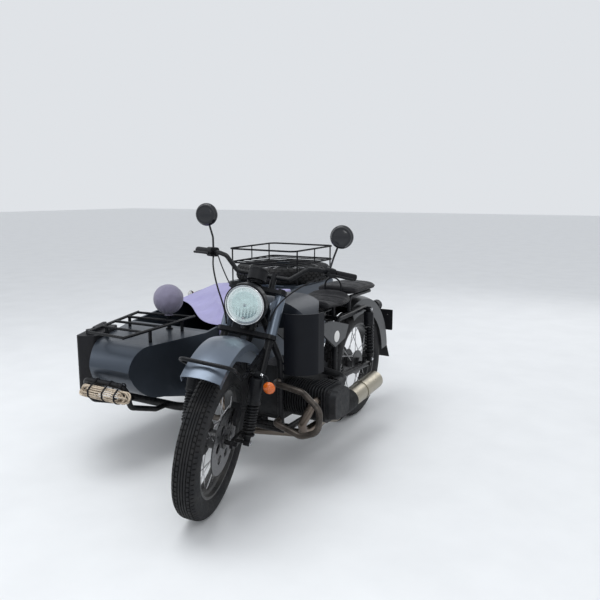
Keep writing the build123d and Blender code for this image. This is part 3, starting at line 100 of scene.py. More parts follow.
# -------- camera and lights
LOOK_DOWN = 9.59
LOOK_ASIDE = 29.89
camera = put("camera", bpy.data.cameras.new("camera"))
camera.location = (2.067, -3.005, 1.391)
camera.rotation_euler = (radians(90 - LOOK_DOWN), 0, radians(LOOK_ASIDE))
camera.data.lens = 38.1
camera.data.sensor_width = 36
SCENE.camera = camera
SCENE.view_settings.view_transform = "Standard"


def lamp(name, at, target, size, power, colour=(1, 1, 1)):
    """A square soft light that looks at a point."""
    light = bpy.data.lights.new(name, "AREA")
    light.size, light.energy, light.color = size, power, colour
    obj = put(name, light)
    obj.location = at
    obj.rotation_euler = (Vector(target) - Vector(at)).to_track_quat("-Z", "Y").to_euler()


lamp("overhead", (-0.2, -1.4, 4.4), (0, 0, 0.4), size=2.6, power=80, colour=(0.97, 0.99, 1))
lamp("key", (3.4, -4.6, 3.6), (0, 0, 0.5), size=2.0, power=38)
lamp("fill", (-4.5, -2.6, 2.4), (0, 0, 0.5), size=2.4, power=22, colour=(0.95, 0.97, 1))
lamp("rear_fill", (1.5, 5, 3), (0, 0, 0.5), size=2.4, power=30)


# -------- materials
class Tree:
    """Short calls for the nodes of one shader tree."""

    def __init__(self, tree):
        self.tree = tree

    def add(self, kind, **settings):
        node = self.tree.nodes.new(kind)
        for key, value in settings.items():
            setattr(node, key, value)
        return node

    def feed(self, socket, value):
        """Gives an input another node's output, or a number or colour of its own."""
        if isinstance(value, bpy.types.NodeSocket):
            self.tree.links.new(value, socket)
        else:
            socket.default_value = (*value, 1) if isinstance(value, tuple) else value

    def span(self, source, low, high, to_low=0.0, to_high=1.0):
        """Maps a value from one range to another, and holds it there."""
        node = self.add("ShaderNodeMapRange")
        names = ("Value", "From Min", "From Max", "To Min", "To Max")
        for name, value in zip(names, (source, low, high, to_low, to_high)):
            self.feed(node.inputs[name], value)
        return node.outputs["Result"]

    def math(self, operation, a, b=0.0):
        node = self.add("ShaderNodeMath", operation=operation)
        self.feed(node.inputs[0], a)
        self.feed(node.inputs[1], b)
        return node.outputs[0]

    def mix(self, factor, a, b):
        node = self.add("ShaderNodeMix", data_type="RGBA")
        for index, value in ((0, factor), (6, a), (7, b)):
            self.feed(node.inputs[index], value)
        return node.outputs[2]


DUST = (0.22, 0.2, 0.18)
EDGE_R = 0.0012
METALLIC, COAT, COAT_ROUGH, SPECULAR = "Metallic", "Coat Weight", "Coat Roughness", "Specular IOR Level"


class Finish(Tree):
    """A new material, with the levels of its shader's own sockets."""

    def __init__(self, name, levels=()):
        self.mat = bpy.data.materials.new(name)
        self.mat.use_nodes = True
        super().__init__(self.mat.node_tree)
        self.bsdf = self.tree.nodes["Principled BSDF"]
        self.coords = self.add("ShaderNodeTexCoord").outputs["Object"]
        for socket, level in dict(levels).items():
            self.bsdf.inputs[socket].default_value = level

    def noise(self, scale, detail=3, rough=0.55, coords=None):
        node = self.add("ShaderNodeTexNoise")
        for name, value in zip(("Scale", "Detail", "Roughness"), (scale, detail, rough)):
            node.inputs[name].default_value = value
        self.feed(node.inputs["Vector"], coords or self.coords)
        return node.outputs["Fac"]

    def patches(self, scale, detail, rough=0.55, low=0.3, high=0.7, to_low=0.0, to_high=1.0):
        """Noise, stretched between two of its levels."""
        return self.span(self.noise(scale, detail, rough), low, high, to_low, to_high)

    def along(self, axis):
        """The place along X, Y or Z, in metres."""
        node = self.add("ShaderNodeSeparateXYZ")
        self.feed(node.inputs[0], self.coords)
        return node.outputs[axis]

    def cells(self, scale, **settings):
        """The distance within cells of a pattern."""
        node = self.add("ShaderNodeTexVoronoi", **settings)
        node.inputs["Scale"].default_value = scale
        self.feed(node.inputs["Vector"], self.coords)
        return node.outputs["Distance"]

    def colour(self, source):
        self.feed(self.bsdf.inputs["Base Color"], source)

    def rough(self, low, high, scale=60):
        self.feed(self.bsdf.inputs["Roughness"], self.patches(scale, 4, to_low=low, to_high=high))

    def bump(self, height, depth, strength=1.0):
        node = self.add("ShaderNodeBump")
        for name, value in zip(("Height", "Distance", "Strength"), (height, depth, strength)):
            self.feed(node.inputs[name], value)
        self.feed(self.bsdf.inputs["Normal"], node.outputs["Normal"])

    def worn_edges(self, base, bare):
        """Mixes a bare colour in where the surface bends sharply, broken up by noise."""
        bevel = self.add("ShaderNodeBevel", samples=4)
        bevel.inputs["Radius"].default_value = EDGE_R
        flat = self.add("ShaderNodeNewGeometry").outputs["Normal"]
        dot = self.add("ShaderNodeVectorMath", operation="DOT_PRODUCT")
        self.feed(dot.inputs[0], bevel.outputs["Normal"])
        self.feed(dot.inputs[1], flat)
        edge = self.span(dot.outputs["Value"], 0.9, 0.7)
        return self.mix(self.math("MULTIPLY", edge, self.patches(90, 5, 0.55, 0.45, 0.62, 0, 0.6)), base, bare)

    def dust(self, base, amount, height=0.55):
        """Road dust, thicker towards the ground."""
        near_ground = self.span(self.along("Z"), height, 0.02, 0, amount)
        return self.mix(self.math("MULTIPLY", near_ground, self.patches(14, 6, 0.7, 0.35, 0.75)), base, DUST)


def tint(colour, gain):
    """A colour made darker or lighter by a factor."""
    return tuple(min(1.0, channel * gain) for channel in colour)


def plain(name, colour, rough, metallic, vary, grain, pits, dust=0.0, coat=0.0, spec=0.5, worn=None):
    """Paint, metal or plastic: mottled colour, uneven gloss, worn edges and dust.

    rough is the range of roughness, vary the share that the colour varies, grain the scale at which it
    does, and pits the scale and depth of the fine relief.
    """
    n = Finish(name, {METALLIC: metallic, COAT: coat, COAT_ROUGH: 0.12, SPECULAR: spec})
    base = n.mix(n.patches(grain, 5, 0.6), tint(colour, 1 - vary), tint(colour, 1 + vary))
    if worn:
        base = n.worn_edges(base, worn)
    if dust:
        base = n.dust(base, dust)
    n.colour(base)
    n.rough(*rough)
    n.bump(n.noise(pits[0], 2), pits[1])
    return n.mat


def exhaust_metal():
    """Stainless steel with heat colours towards the front and brushed round the can."""
    n = Finish("exhaust_steel", {METALLIC: 1})
    heat = n.span(n.along("Y"), 0.05, -0.5)
    heat = n.math("ADD", heat, n.patches(7, 2, to_low=-0.12, to_high=0.12))
    base = n.mix(heat, (0.37, 0.34, 0.275), (0.19, 0.155, 0.13))
    n.colour(n.dust(base, 0.2, 0.4))
    brushed = n.add("ShaderNodeMapping")
    brushed.inputs["Scale"].default_value = (60, 900, 60)
    n.feed(brushed.inputs["Vector"], n.coords)
    n.rough(0.26, 0.4, 40)
    n.bump(n.noise(1, 2, coords=brushed.outputs[0]), 2e-5)
    return n.mat


def rubber(name, colour, dry=True):
    """Mottled rubber, with pale dried patches on a tyre."""
    n = Finish(name, {SPECULAR: 0.2})
    base = n.mix(n.patches(45, 6, 0.65), tint(colour, 0.75), tint(colour, 1.3))
    if dry:
        base = n.mix(n.patches(9, 5, 0.7, 0.4, 0.75, 0, 0.3), base, (0.07, 0.065, 0.06))
    n.colour(base)
    n.rough(0.55, 0.75, 80)
    n.bump(n.noise(420, 4), 3e-4)
    return n.mat


def cloth(name, colour, threads, crease, vary):
    """Woven cloth: crossed waves for the threads, with painted shade between them, soft creases and uneven dye."""
    n = Finish(name, {"Sheen Weight": 0.25, "Sheen Roughness": 0.5})
    base = n.mix(n.patches(7, 5, 0.6), tint(colour, 1 - vary), tint(colour, 1 + vary))
    weft = 0.0
    for direction in "XYZ":
        wave = n.add("ShaderNodeTexWave", bands_direction=direction)
        for socket, value in (("Scale", threads), ("Distortion", 1.5), ("Detail", 1)):
            wave.inputs[socket].default_value = value
        n.feed(wave.inputs["Vector"], n.coords)
        weft = n.math("ADD", weft, wave.outputs["Fac"])
    # The weave's low parts are a darker copy of the cloth: painted shade between the threads.
    n.colour(n.mix(n.span(weft, 0.6, 2.4), n.mix(0.16, base, (0, 0, 0)), base))
    n.rough(0.78, 0.92, 30)
    folds = n.math("MULTIPLY", n.noise(26, 4, 0.6), crease)
    n.bump(n.math("ADD", n.math("MULTIPLY", weft, 0.08), folds), 0.0012, 0.8)
    return n.mat


def vinyl(name, colour):
    """Seat vinyl: a pebbled grain from cells, painted darker in its valleys as shade, with scuffs."""
    n = Finish(name, {SPECULAR: 0.15})
    grain = n.span(n.cells(420, feature="DISTANCE_TO_EDGE"), 0, 0.12)
    base = n.mix(n.patches(12, 4, 0.6, 0.5, 0.8, 0, 0.25), colour, tint(colour, 1.7))
    # Darker towards the cells' edges, the grain's valleys: painted shade.
    n.colour(n.mix(grain, tint(colour, 0.55), base))
    n.rough(0.38, 0.56, 35)
    n.bump(n.math("ADD", grain, n.math("MULTIPLY", n.noise(30, 4), 0.8)), 2e-4)
    return n.mat


def rope_fibre():
    """Pale laid cord of uneven tone, darker in random patches, with a dark fleck thread."""
    n = Finish("rope_fibre")
    base = n.mix(n.patches(30, 5, 0.65, 0.35, 0.7), (0.4, 0.33, 0.25), (0.68, 0.58, 0.46))
    n.colour(n.mix(n.patches(160, 3, 0.5, 0.56, 0.64), base, (0.2, 0.15, 0.11)))
    n.rough(0.8, 0.95, 60)
    n.bump(n.noise(900, 3), 6e-4)
    return n.mat


def glass(name, colour):
    """Clear lamp glass, a little smeared."""
    n = Finish(name, {"Transmission Weight": 1, "IOR": 1.46})
    n.colour(n.mix(n.patches(60, 5, 0.55, 0.35, 0.75), colour, tint(colour, 0.88)))
    n.rough(0.03, 0.09, 25)
    n.bump(n.noise(40, 2), 1e-5)
    return n.mat


def lens(name, colour):
    """Coloured lamp plastic in prism cells, each painted lighter at its centre as a glint and darker at its rim as
    shade: glossy, deep and a little uneven.
    """
    n = Finish(name, {COAT: 0.6, COAT_ROUGH: 0.06, "Transmission Weight": 0.15})
    prisms = n.cells(260)
    # Lighter cell centres and darker rims: painted glints and shade on the prisms.
    n.colour(n.mix(n.span(prisms, 0, 0.6), tint(colour, 1.25), tint(colour, 0.6)))
    n.rough(0.12, 0.22, 30)
    n.bump(prisms, 4e-4)
    return n.mat


M = {
    "paint": plain("slate_paint", (0.017, 0.022, 0.031), (0.32, 0.38), 0.6, 0.05, 5, (40, 1e-5), coat=0.15),
    "body_paint": plain("body_paint", (0.055, 0.068, 0.088), (0.34, 0.4), 0.8, 0.05, 4, (30, 1e-5), coat=0.12),
    # The front fender and fork covers get the slate paint painted lighter: partly their slate colour, partly
    # painted sky reflection.
    "fender_paint_and_sky_sheen": plain(
        "fender_paint_and_sky_sheen", (0.13, 0.158, 0.2), (0.3, 0.36), 0.7, 0.05, 6, (40, 1e-5), dust=0.1, coat=0.2,
    ),
    "cover_paint": plain(
        "cover_paint", (0.042, 0.044, 0.047), (0.3, 0.38), 0.65, 0.05, 6, (40, 1e-5), dust=0.1, coat=0.2,
    ),
    "black": plain(
        "black_enamel", (0.007, 0.0075, 0.009), (0.24, 0.36), 0, 0.3, 30, (300, 3e-5), dust=0.2, spec=0.16,
        worn=(0.05, 0.046, 0.042),
    ),
    "rough_black": plain(
        "rough_black", (0.006, 0.0065, 0.008), (0.5, 0.66), 0, 0.3, 25, (350, 1e-4), dust=0.15, spec=0.12,
    ),
    "shield_black": plain(
        "shield_black", (0.006, 0.007, 0.01), (0.34, 0.44), 0, 0.15, 8, (120, 2e-5), dust=0.05, spec=0.14,
    ),
    "engine": plain(
        "engine_case", (0.016, 0.017, 0.019), (0.4, 0.58), 0.3, 0.3, 35, (260, 2e-4), dust=0.25, spec=0.15,
        worn=(0.2, 0.2, 0.2),
    ),
    "worn_bar": plain("worn_bar", (0.06, 0.05, 0.042), (0.3, 0.45), 0.5, 0.8, 22, (300, 6e-5), dust=0.3),
    "gloss_black": plain("gloss_black", (0.009, 0.01, 0.013), (0.14, 0.22), 0, 0.2, 20, (60, 1e-5)),
    "steel": plain("bright_steel", (0.62, 0.63, 0.65), (0.16, 0.32), 1, 0.1, 50, (900, 3e-5), dust=0.15),
    "disc": plain("brake_disc", (0.24, 0.24, 0.25), (0.24, 0.4), 1, 0.12, 40, (900, 5e-5), dust=0.1),
    "plastic": plain(
        "black_plastic", (0.009, 0.0095, 0.011), (0.34, 0.48), 0, 0.2, 60, (900, 6e-5), dust=0.15, spec=0.15,
    ),
    "can": plain("can_plastic", (0.01, 0.01, 0.012), (0.45, 0.6), 0, 0.2, 20, (400, 1e-4), dust=0.2, spec=0.2),
    "white": plain("white_vinyl", (0.72, 0.72, 0.7), (0.35, 0.5), 0, 0.04, 40, (600, 3e-5), dust=0.1),
    "dial": plain("dial_face", (0.012, 0.012, 0.013), (0.5, 0.6), 0, 0.1, 40, (600, 3e-5)),
    "mirror": plain("mirror_glass", (0.78, 0.8, 0.82), (0.03, 0.06), 1, 0.02, 10, (50, 1e-5)),
    # The reflector's teal tint is a painted sky reflection on the bright metal.
    "reflector": plain("reflector", (0.82, 0.88, 0.88), (0.14, 0.2), 1, 0.02, 8, (12, 2e-5)),
    "bright_ring": plain("bright_ring", (0.75, 0.76, 0.78), (0.08, 0.16), 1, 0.05, 30, (700, 2e-5), dust=0.1),
    "plate": plain("plate_blank", (0.6, 0.6, 0.58), (0.35, 0.5), 0, 0.05, 30, (600, 4e-5), dust=0.35),
    "exhaust": exhaust_metal(),
    "tyre": rubber("tyre_rubber", (0.011, 0.0115, 0.013)),
    "rubber": rubber("grip_rubber", (0.01, 0.01, 0.012), dry=False),
    "tonneau": cloth("lavender_cloth", (0.33, 0.31, 0.55), threads=150, crease=5 / 6, vary=0.08),
    "lamp_cloth": cloth("mauve_cloth", (0.2, 0.185, 0.265), threads=550 / 3, crease=4 / 3, vary=0.1),
    "vinyl": vinyl("seat_vinyl", (0.007, 0.007, 0.009)),
    "piping": vinyl("seat_piping", (0.016, 0.016, 0.018)),
    "rope": rope_fibre(),
    # The lamp glass's teal tint is a painted sky reflection; the glass itself is clear.
    "glass": glass("lamp_glass", (0.9, 0.975, 0.97)),
    "amber": lens("amber_lens", (0.95, 0.17, 0.004)),
    "red": lens("red_lens", (0.55, 0.02, 0.02)),
    "clear": lens("clear_lens", (0.8, 0.8, 0.78)),
}

# Where a wheel's one material changes, by the distance from the axle in metres
RIM_FROM = (0.2215, 0.2225)
HUB_WITHIN = (0.0785, 0.0775)


def wheel_metal(name, centre, axis):
    """One material for a whole wheel: dark hub, steel spokes and black rim."""
    n = Finish(name)
    shift, along, length = (
        n.add("ShaderNodeVectorMath", operation=kind) for kind in ("SUBTRACT", "DOT_PRODUCT", "LENGTH")
    )
    n.feed(shift.inputs[0], n.coords)
    shift.inputs[1].default_value = centre
    n.feed(along.inputs[0], shift.outputs[0])
    along.inputs[1].default_value = axis
    n.feed(length.inputs[0], shift.outputs[0])
    squares = (n.math("POWER", node.outputs["Value"], 2.0) for node in (length, along))
    radius = n.math("SQRT", n.math("MAXIMUM", n.math("SUBTRACT", *squares)))
    is_rim = n.span(radius, *RIM_FROM)
    is_hub = n.span(radius, *HUB_WITHIN)
    mottle = n.patches(60, 5, 0.6)
    spoke = n.mix(mottle, (0.42, 0.42, 0.43), (0.6, 0.6, 0.61))
    hub = n.mix(mottle, (0.035, 0.036, 0.038), (0.06, 0.06, 0.062))
    rim = n.mix(mottle, (0.014, 0.015, 0.016), (0.026, 0.027, 0.028))
    n.colour(n.dust(n.mix(is_rim, n.mix(is_hub, spoke, hub), rim), 0.35, 0.4))
    painted = n.math("ADD", is_rim, n.math("MULTIPLY", is_hub, 0.5))
    n.feed(n.bsdf.inputs[METALLIC], n.math("SUBTRACT", 1.0, painted))
    n.rough(0.25, 0.42, 60)
    n.bump(n.noise(500, 2), 8e-5)
    return n.mat


# Each wheel's place, with its axle along the place's X, and the body that it turns with
WHEELS = {
    "front": (TURN @ Matrix.Translation(FRONT_AXLE), "front_wheel"),
    "rear": (Matrix.Translation(REAR_AXLE), "rear_wheel"),
    "sidecar": (Matrix.Translation(SIDECAR_AXLE), "sidecar_wheel"),
    "spare": (Matrix.Translation(SPARE_CENTRE) @ Matrix.Rotation(pi / 2, 4, "Y"), "boot_lid"),
}


def paint_node(node, mat):
    """Gives all of a CAD node one material."""
    slots = NODES[node].data.materials
    slots.clear()
    slots.append(mat)


FINISHES = {
    "paint": "fuel_tank",
    "cover_paint": "side_covers rear_fender sidecar_fender",
    "body_paint": "sidecar_body boot_lid",
    "fender_paint_and_sky_sheen": "front_fender fork_covers",
    "black": "fender_guard handlebar main_frame nose_rack nose_guard sidecar_frame sidecar_arm saddle_frame "
    "swing_arm centre_stand headlamp_shell fork_legs leading_links",
    "rough_black": "heat_shield boot_rack",
    "shield_black": "leg_shields",
    "worn_bar": "crash_bars",
    "engine": "engine_block cylinders cylinder_heads final_drive brake_caliper intakes",
    "plastic": "speedometer levers mudflap front_indicator marker_lamps tail_lamp",
    "gloss_black": "mirrors",
    "rubber": "grips",
    "can": "fuel_can",
    "exhaust": "exhaust_pipes muffler",
    "disc": "front_brake_disc",
}
for finish, members in FINISHES.items():
    for node in members.split():
        paint_node(node, M[finish])
for wheel, (place, _) in WHEELS.items():
    axle = (place.to_3x3() @ X).normalized()
    paint_node(f"{wheel}_wheel", wheel_metal(f"{wheel}_wheel_metal", to_row(place.to_translation()), axle))


# -------- mesh building
class Build:
    """Collects surfaces in the source's millimetres, then becomes one object."""

    def __init__(self):
        self.points, self.faces, self.slots = [], [], []

    def grid(self, rows, slot=0, closed=True, loop=False, cap=False):
        """Quads between rows of points. closed joins each row's ends, loop joins the last row to the first."""
        base, width = len(self.points), len(rows[0])
        for row in rows:
            self.points.extend(Vector(p) for p in row)
        for i in range(len(rows) - (0 if loop else 1)):
            here, there = base + i * width, base + (i + 1) % len(rows) * width
            for j in range(width if closed else width - 1):
                k = (j + 1) % width
                self.faces.append((here + j, here + k, there + k, there + j))
                self.slots.append(slot)
        if cap:
            for start in (base, base + (len(rows) - 1) * width):
                self.faces.append(tuple(range(start, start + width)))
                self.slots.append(slot)

    def lathe(self, origin, axis, profile, slot=0, sides=48, loop=False):
        """A surface turned about an axis from (distance along it, radius) points."""
        origin, axis = Vector(origin), Vector(axis).normalized()
        side = axis.orthogonal().normalized()
        up = axis.cross(side)
        turn = [tau * k / sides for k in range(sides)]
        rows = []
        for along, radius in profile:
            radius = max(radius, 0.01)
            rows.append([origin + axis * along + side * (radius * cos(a)) + up * (radius * sin(a)) for a in turn])
        self.grid(rows, slot, loop=loop, cap=not loop)

    def tube(self, path, radius, slot=0, sides=10, loop=False, shape=None):
        """A tube along points. radius is a number or a list, and shape(i, angle) may scale it."""
        path = [Vector(p) for p in path]
        rows, side = [], None
        for i, point in enumerate(path):
            ahead = path[(i + 1) % len(path)] if loop or i < len(path) - 1 else point
            behind = path[i - 1] if loop or i > 0 else point
            tangent = (ahead - behind).normalized()
            side = (side - tangent * side.dot(tangent) if side else tangent.orthogonal()).normalized()
            up = tangent.cross(side)
            r = radius[i] if isinstance(radius, list) else radius
            row = []
            for k in range(sides):
                angle = tau * k / sides
                reach = r * (shape(i, angle) if shape else 1)
                row.append(point + side * (reach * cos(angle)) + up * (reach * sin(angle)))
            rows.append(row)
        self.grid(rows, slot, loop=loop, cap=not loop)

    def make(self, name, mats, body, replaces=(), place=None, sharp=35):
        """The object. What rides on the steering is written as it stands before the front is turned."""
        mesh = bpy.data.meshes.new(name)
        place = place or (TURN if body == "steering" else Matrix.Identity(4))
        mesh.from_pydata([to_row(place @ p) for p in self.points], [], self.faces)
        for mat in mats.split():
            mesh.materials.append(M[mat])
        mesh.polygons.foreach_set("material_index", self.slots)
        work = bmesh.new()
        work.from_mesh(mesh)
        bmesh.ops.remove_doubles(work, verts=work.verts, dist=1e-6)
        bmesh.ops.recalc_face_normals(work, faces=work.faces)
        work.to_mesh(mesh)
        work.free()
        mesh.polygons.foreach_set("use_smooth", [True] * len(mesh.polygons))
        mesh.set_sharp_from_angle(angle=radians(sharp))
        obj = put(name, mesh)
        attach(obj, body)
        if replaces:
            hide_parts(*replaces)
        return obj


# -------- tyres
# Half of a tyre's section from bead to shoulder: distance from the middle, radius
SIDE_WALL = [
    (31, 243.4), (36, 245), (40.5, 250), (44, 256.5), (44.6, 259), (46.2, 260), (50.5, 272), (53, 282), (54, 290),
    (53.6, 303), (52.4, 312), (50.6, 319),
]
CROWN_R = 340
SHOULDER = 22
TREAD_HALF_W = 47.5
GROOVE_WALL = 0.7
WIDE_RIB, RIB_STEP = 7, 4


def crown(x):
    """The tread's radius at a distance from the middle."""
    return CROWN_R - 1.2 * (abs(x) / 30) ** 2 - 11.5 * max(0, (abs(x) - SHOULDER) / 26) ** 2.2


def tread_columns(grooves, width):
    """Positions across the tread: both sides of each groove's walls, and the ribs' middles."""
    values = {-TREAD_HALF_W, TREAD_HALF_W}
    for centre in grooves:
        for sign in (-1, 1):
            values.update((centre + sign * width / 2, centre + sign * (width / 2 + GROOVE_WALL)))
    ordered = sorted(v for v in values if -TREAD_HALF_W <= v <= TREAD_HALF_W)
    filled = [ordered[0]]
    for value in ordered[1:]:
        gap = value - filled[-1]
        if gap > WIDE_RIB:
            parts = int(gap / RIB_STEP)
            filled += [filled[-1] + gap * k / parts for k in range(1, parts)]
        filled.append(value)
    return filled


def make_tyre(wheel, pitches, grooves, width, depth, sipes, in_sipe):
    """A tyre with its tread cut into the mesh, from shares of a pitch at which sipes start and end."""

    def tread(x, step, part):
        in_groove = any(abs(x - centre) <= width / 2 + 0.01 for centre in grooves)
        return crown(x) - (depth if in_groove or in_sipe(x, step, part) else 0)

    across = tread_columns(grooves, width)
    rows = []
    for step in range(pitches):
        for part, share in enumerate(sipes):
            angle = tau * (step + share) / pitches
            section = [(-x, r) for x, r in SIDE_WALL]
            section += [(x, tread(x, step, part)) for x in across]
            section += reversed(SIDE_WALL)
            rows.append([(x, -r * cos(angle), r * sin(angle)) for x, r in section])
    build = Build()
    build.grid(rows, loop=True)
    place, body = WHEELS[wheel]
    build.make(f"{wheel}_tyre_tread", "tyre", body, [f"{wheel}_tyre"], place, sharp=28)


def road_sipe(x, step, part):
    """Short sipes in the outer ribs, and notches beside the middle one."""
    outer, inner = ((5, 6), (1, 2)) if x > 0 else ((1, 2), (5, 6))
    x = abs(x)
    if 35.5 < x < 47:
        return part in (1, 2)
    if 21 < x < 30:
        return part in outer
    return 9 < x < 14.5 and part in inner and step % 2 == 0


def block_sipe(x, step, part):
    """Staggered blocks in five rows, as on a dual sport tyre."""
    return part in ((1, 2) if round(abs(x) / 20) % 2 == 0 else (5, 6))


ROAD = {
    "grooves": (-32, -17, -5.5, 5.5, 17, 32),
    "width": 3,
    "depth": 5.5,
    "sipes": (0, 0.05, 0.25, 0.3, 0.5, 0.55, 0.75, 0.8),
    "in_sipe": road_sipe,
}
BLOCKS = {
    "grooves": (-29, -9.5, 9.5, 29),
    "width": 6,
    "depth": 7.5,
    "sipes": (0, 0.04, 0.3, 0.34, 0.5, 0.54, 0.8, 0.84),
    "in_sipe": block_sipe,
}
make_tyre("front", pitches=92, **ROAD)
for wheel in ("rear", "sidecar", "spare"):
    make_tyre(wheel, pitches=50, **BLOCKS)


# -------- springs and dampers
WIRE = 5.2
DAMPER_R = 15
# The damper's tube ends, and the spring starts, at these shares of the unit's length
DAMPER_SHARE = 0.62
SPRING_FROM = 0.15
DAMPER = "black rough_black steel rubber"


def spring_unit(build, low, high, turns, spring_r, sleeve):
    """A damper between two eyes inside a coil spring, with a sleeve over its upper share."""
    low, high = Vector(low), Vector(high)
    axis = high - low
    length = axis.length
    axis.normalize()
    side = axis.orthogonal().normalized()
    up = axis.cross(side)
    start, end = SPRING_FROM * length, (1 - sleeve) * length + 4
    steps = turns * 16
    reach = spring_r - WIRE
    coil = []
    for k in range(steps + 1):
        share = k / steps
        height = start + (end - start) * (share + 0.018 * sin(tau * share))
        angle = tau * turns * share
        coil.append(low + axis * height + side * (reach * cos(angle)) + up * (reach * sin(angle)))
    build.tube(coil, WIRE)
    tube_end = DAMPER_SHARE * length
    damper = [(10, 7), (16, DAMPER_R), (tube_end, DAMPER_R), (tube_end + 3, 12), (tube_end + 4, 7)]
    build.lathe(low, axis, damper, 1, 32)
    build.lathe(low, axis, [(tube_end, 6.5), (length - 10, 6.5)], 2, 20)
    cup = start - WIRE - 1
    seat = [(cup - 8, 14), (cup - 6, spring_r - 2), (cup, spring_r), (cup + 1, spring_r - 1), (cup + 1, 14)]
    build.lathe(low, axis, seat, 0, 40)
    top = [(end - 6, spring_r + 2), (end - 5, spring_r + 4), (end + 2, spring_r + 4), (end + 4, spring_r + 2.4)]
    top += [(length - 24, spring_r + 2.4), (length - 19, spring_r + 1), (length - 14, spring_r - 6)]
    top.append((length - 12, 10))
    build.lathe(low, axis, top)
    for centre in (low, high):
        build.lathe(centre - 13 * X, X, [(0, 8), (0, 14), (1.5, 15), (24.5, 15), (26, 14), (26, 8)], 1, 32)
        build.lathe(centre - 14 * X, X, [(0, 7.4), (0, 11), (28, 11), (28, 7.4)], 3, 24)
        outward = X if centre.x > 0 else -X
        build.lathe(centre + 14.5 * outward, outward, [(0, 10), (2, 10), (2.1, 9), (8, 9), (9, 7.5)], 2, 6)


build = Build()
for side in (-140, 140):
    spring_unit(build, (side, -1440, 346), (side, -1400, 645), turns=10, spring_r=29, sleeve=0.42)
build.make("front_springs", DAMPER, "steering", ["front_shocks"])
build = Build()
for side, foot in ((-1, 446), (1, 384)):
    spring_unit(build, (side * 134, -36, foot), (side * 138, -70, 700), turns=9, spring_r=28, sleeve=0.3)
build.make("rear_springs", DAMPER, "chassis", ["rear_shocks"])
build = Build()
spring_unit(build, (-1056, -50, 356), (-1056, -50, 604), turns=9, spring_r=20, sleeve=0.3)
build.make("sidecar_spring", DAMPER, "chassis", ["sidecar_shock"])


# -------- lamps
def fluted_glass(build, centre, radius, bulge, pitch):
    """A domed lens with upright flutes on its outer face, drawn in columns so that the flutes stay straight."""
    columns, heights, thickness = 176, 36, 3.6
    rows = []
    for i in range(columns + 1):
        x = -radius * cos(pi * i / columns)
        reach = sqrt(max(0.01, radius**2 - x**2))
        front, back = [], []
        for k in range(heights + 1):
            z = -reach * cos(pi * k / heights)
            edge = min(1.0, (x * x + z * z) / radius**2)
            dome = bulge * (1 - edge) ** 0.8
            flute = 1.5 * abs(sin(pi * x / pitch)) * smooth(radius * 0.8, radius * 0.55, hypot(x, z + 8))
            outside = -dome - 2
            front.append(centre + Vector((x, outside + flute, z)))
            back.append(centre + Vector((x, outside + thickness, z)))
        rows.append(front + back[::-1])
    build.grid(rows, cap=True)


# The headlamp: reflector with its bulb, fluted glass, bright ring, and black rim with its screw
build = Build()
bowl = [(-5, 84), (-3, 85.5), (2, 70), (5.5, 48), (7.4, 26), (8, 13), (8.6, 12), (9.4, 13), (9.5, 86.5), (-3, 86.8)]
build.lathe(LAMP, Y, bowl, sides=96)
build.lathe(LAMP, -Y, [(-8, 11), (-2, 11), (-1, 9), (4, 8.5), (8, 7), (10, 3)], 1, 24)
build.make("headlamp_reflector", "reflector steel", "steering", ["headlamp_lens"])
build = Build()
fluted_glass(build, LAMP + 0.5 * Y, radius=86.5, bulge=12.5, pitch=15)
build.make("headlamp_glass", "glass", "steering")
build = Build()
ring = [(-9, 86.6), (-11.2, 87.4), (-11.8, 88.8), (-11.2, 90.4), (-9, 91.4), (-6, 91), (-5.6, 87.4)]
build.lathe(LAMP, Y, ring, sides=96, loop=True)
build.make("headlamp_ring", "bright_ring", "steering")
build = Build()
rim = [(-8.6, 91.6), (-10.6, 92.6), (-11, 94), (-9.6, 95.4), (-5, 95.4), (-5, 91.6)]
build.lathe(LAMP, Y, rim, sides=96, loop=True)
build.lathe(LAMP - 60 * Z, -Y, [(9, 6), (12.6, 6), (13.4, 5)], 1, 6)
build.make("headlamp_rim", "black steel", "steering")

# The indicator: a bent stalk on the shock's upper eye, and a dark cup with a domed, ringed lens
STALK = Vector((155.3, -1400, 645))
CUP_R, CUP_DEPTH = 29, 36
build = Build()
stalk = [(0, 0, 0), (19, 0, 0), (25, -2, -3), (30, -6, -9), (50, -18, -34)]
build.tube([STALK + Vector(point) for point in stalk], 5.5, 0, 14)
build.lathe(STALK, X, [(0, 9), (5, 9), (7, 6)], 0, 20)
cup_at = STALK + Vector((50, -14, -34))
cup = [(0, 0.35), (1 / CUP_DEPTH, 0.62), (0.25, 0.93), (0.5, 1), (0.62, 1), (0.62, 0.9)]
build.lathe(cup_at, -Y, [(CUP_DEPTH * a, CUP_R * r) for a, r in cup])
dome = [(0.4 * CUP_DEPTH, 0.9 * CUP_R), (0.6 * CUP_DEPTH, 0.93 * CUP_R)]
for k in range(25):
    share = k / 24
    rise = CUP_DEPTH * (0.6 + 0.4 * (1 - (1 - share) ** 2))
    dome.append((rise + 0.5 * sin(share * 24), 0.93 * CUP_R * (1 - share)))
build.lathe(cup_at, -Y, dome, 1)
build.make("indicator", "plastic amber", "steering", ["front_indicator"])


def radial(degrees):
    """The direction across a wheel that is turned up from straight ahead."""
    return Vector((0, -cos(radians(degrees)), sin(radians(degrees))))


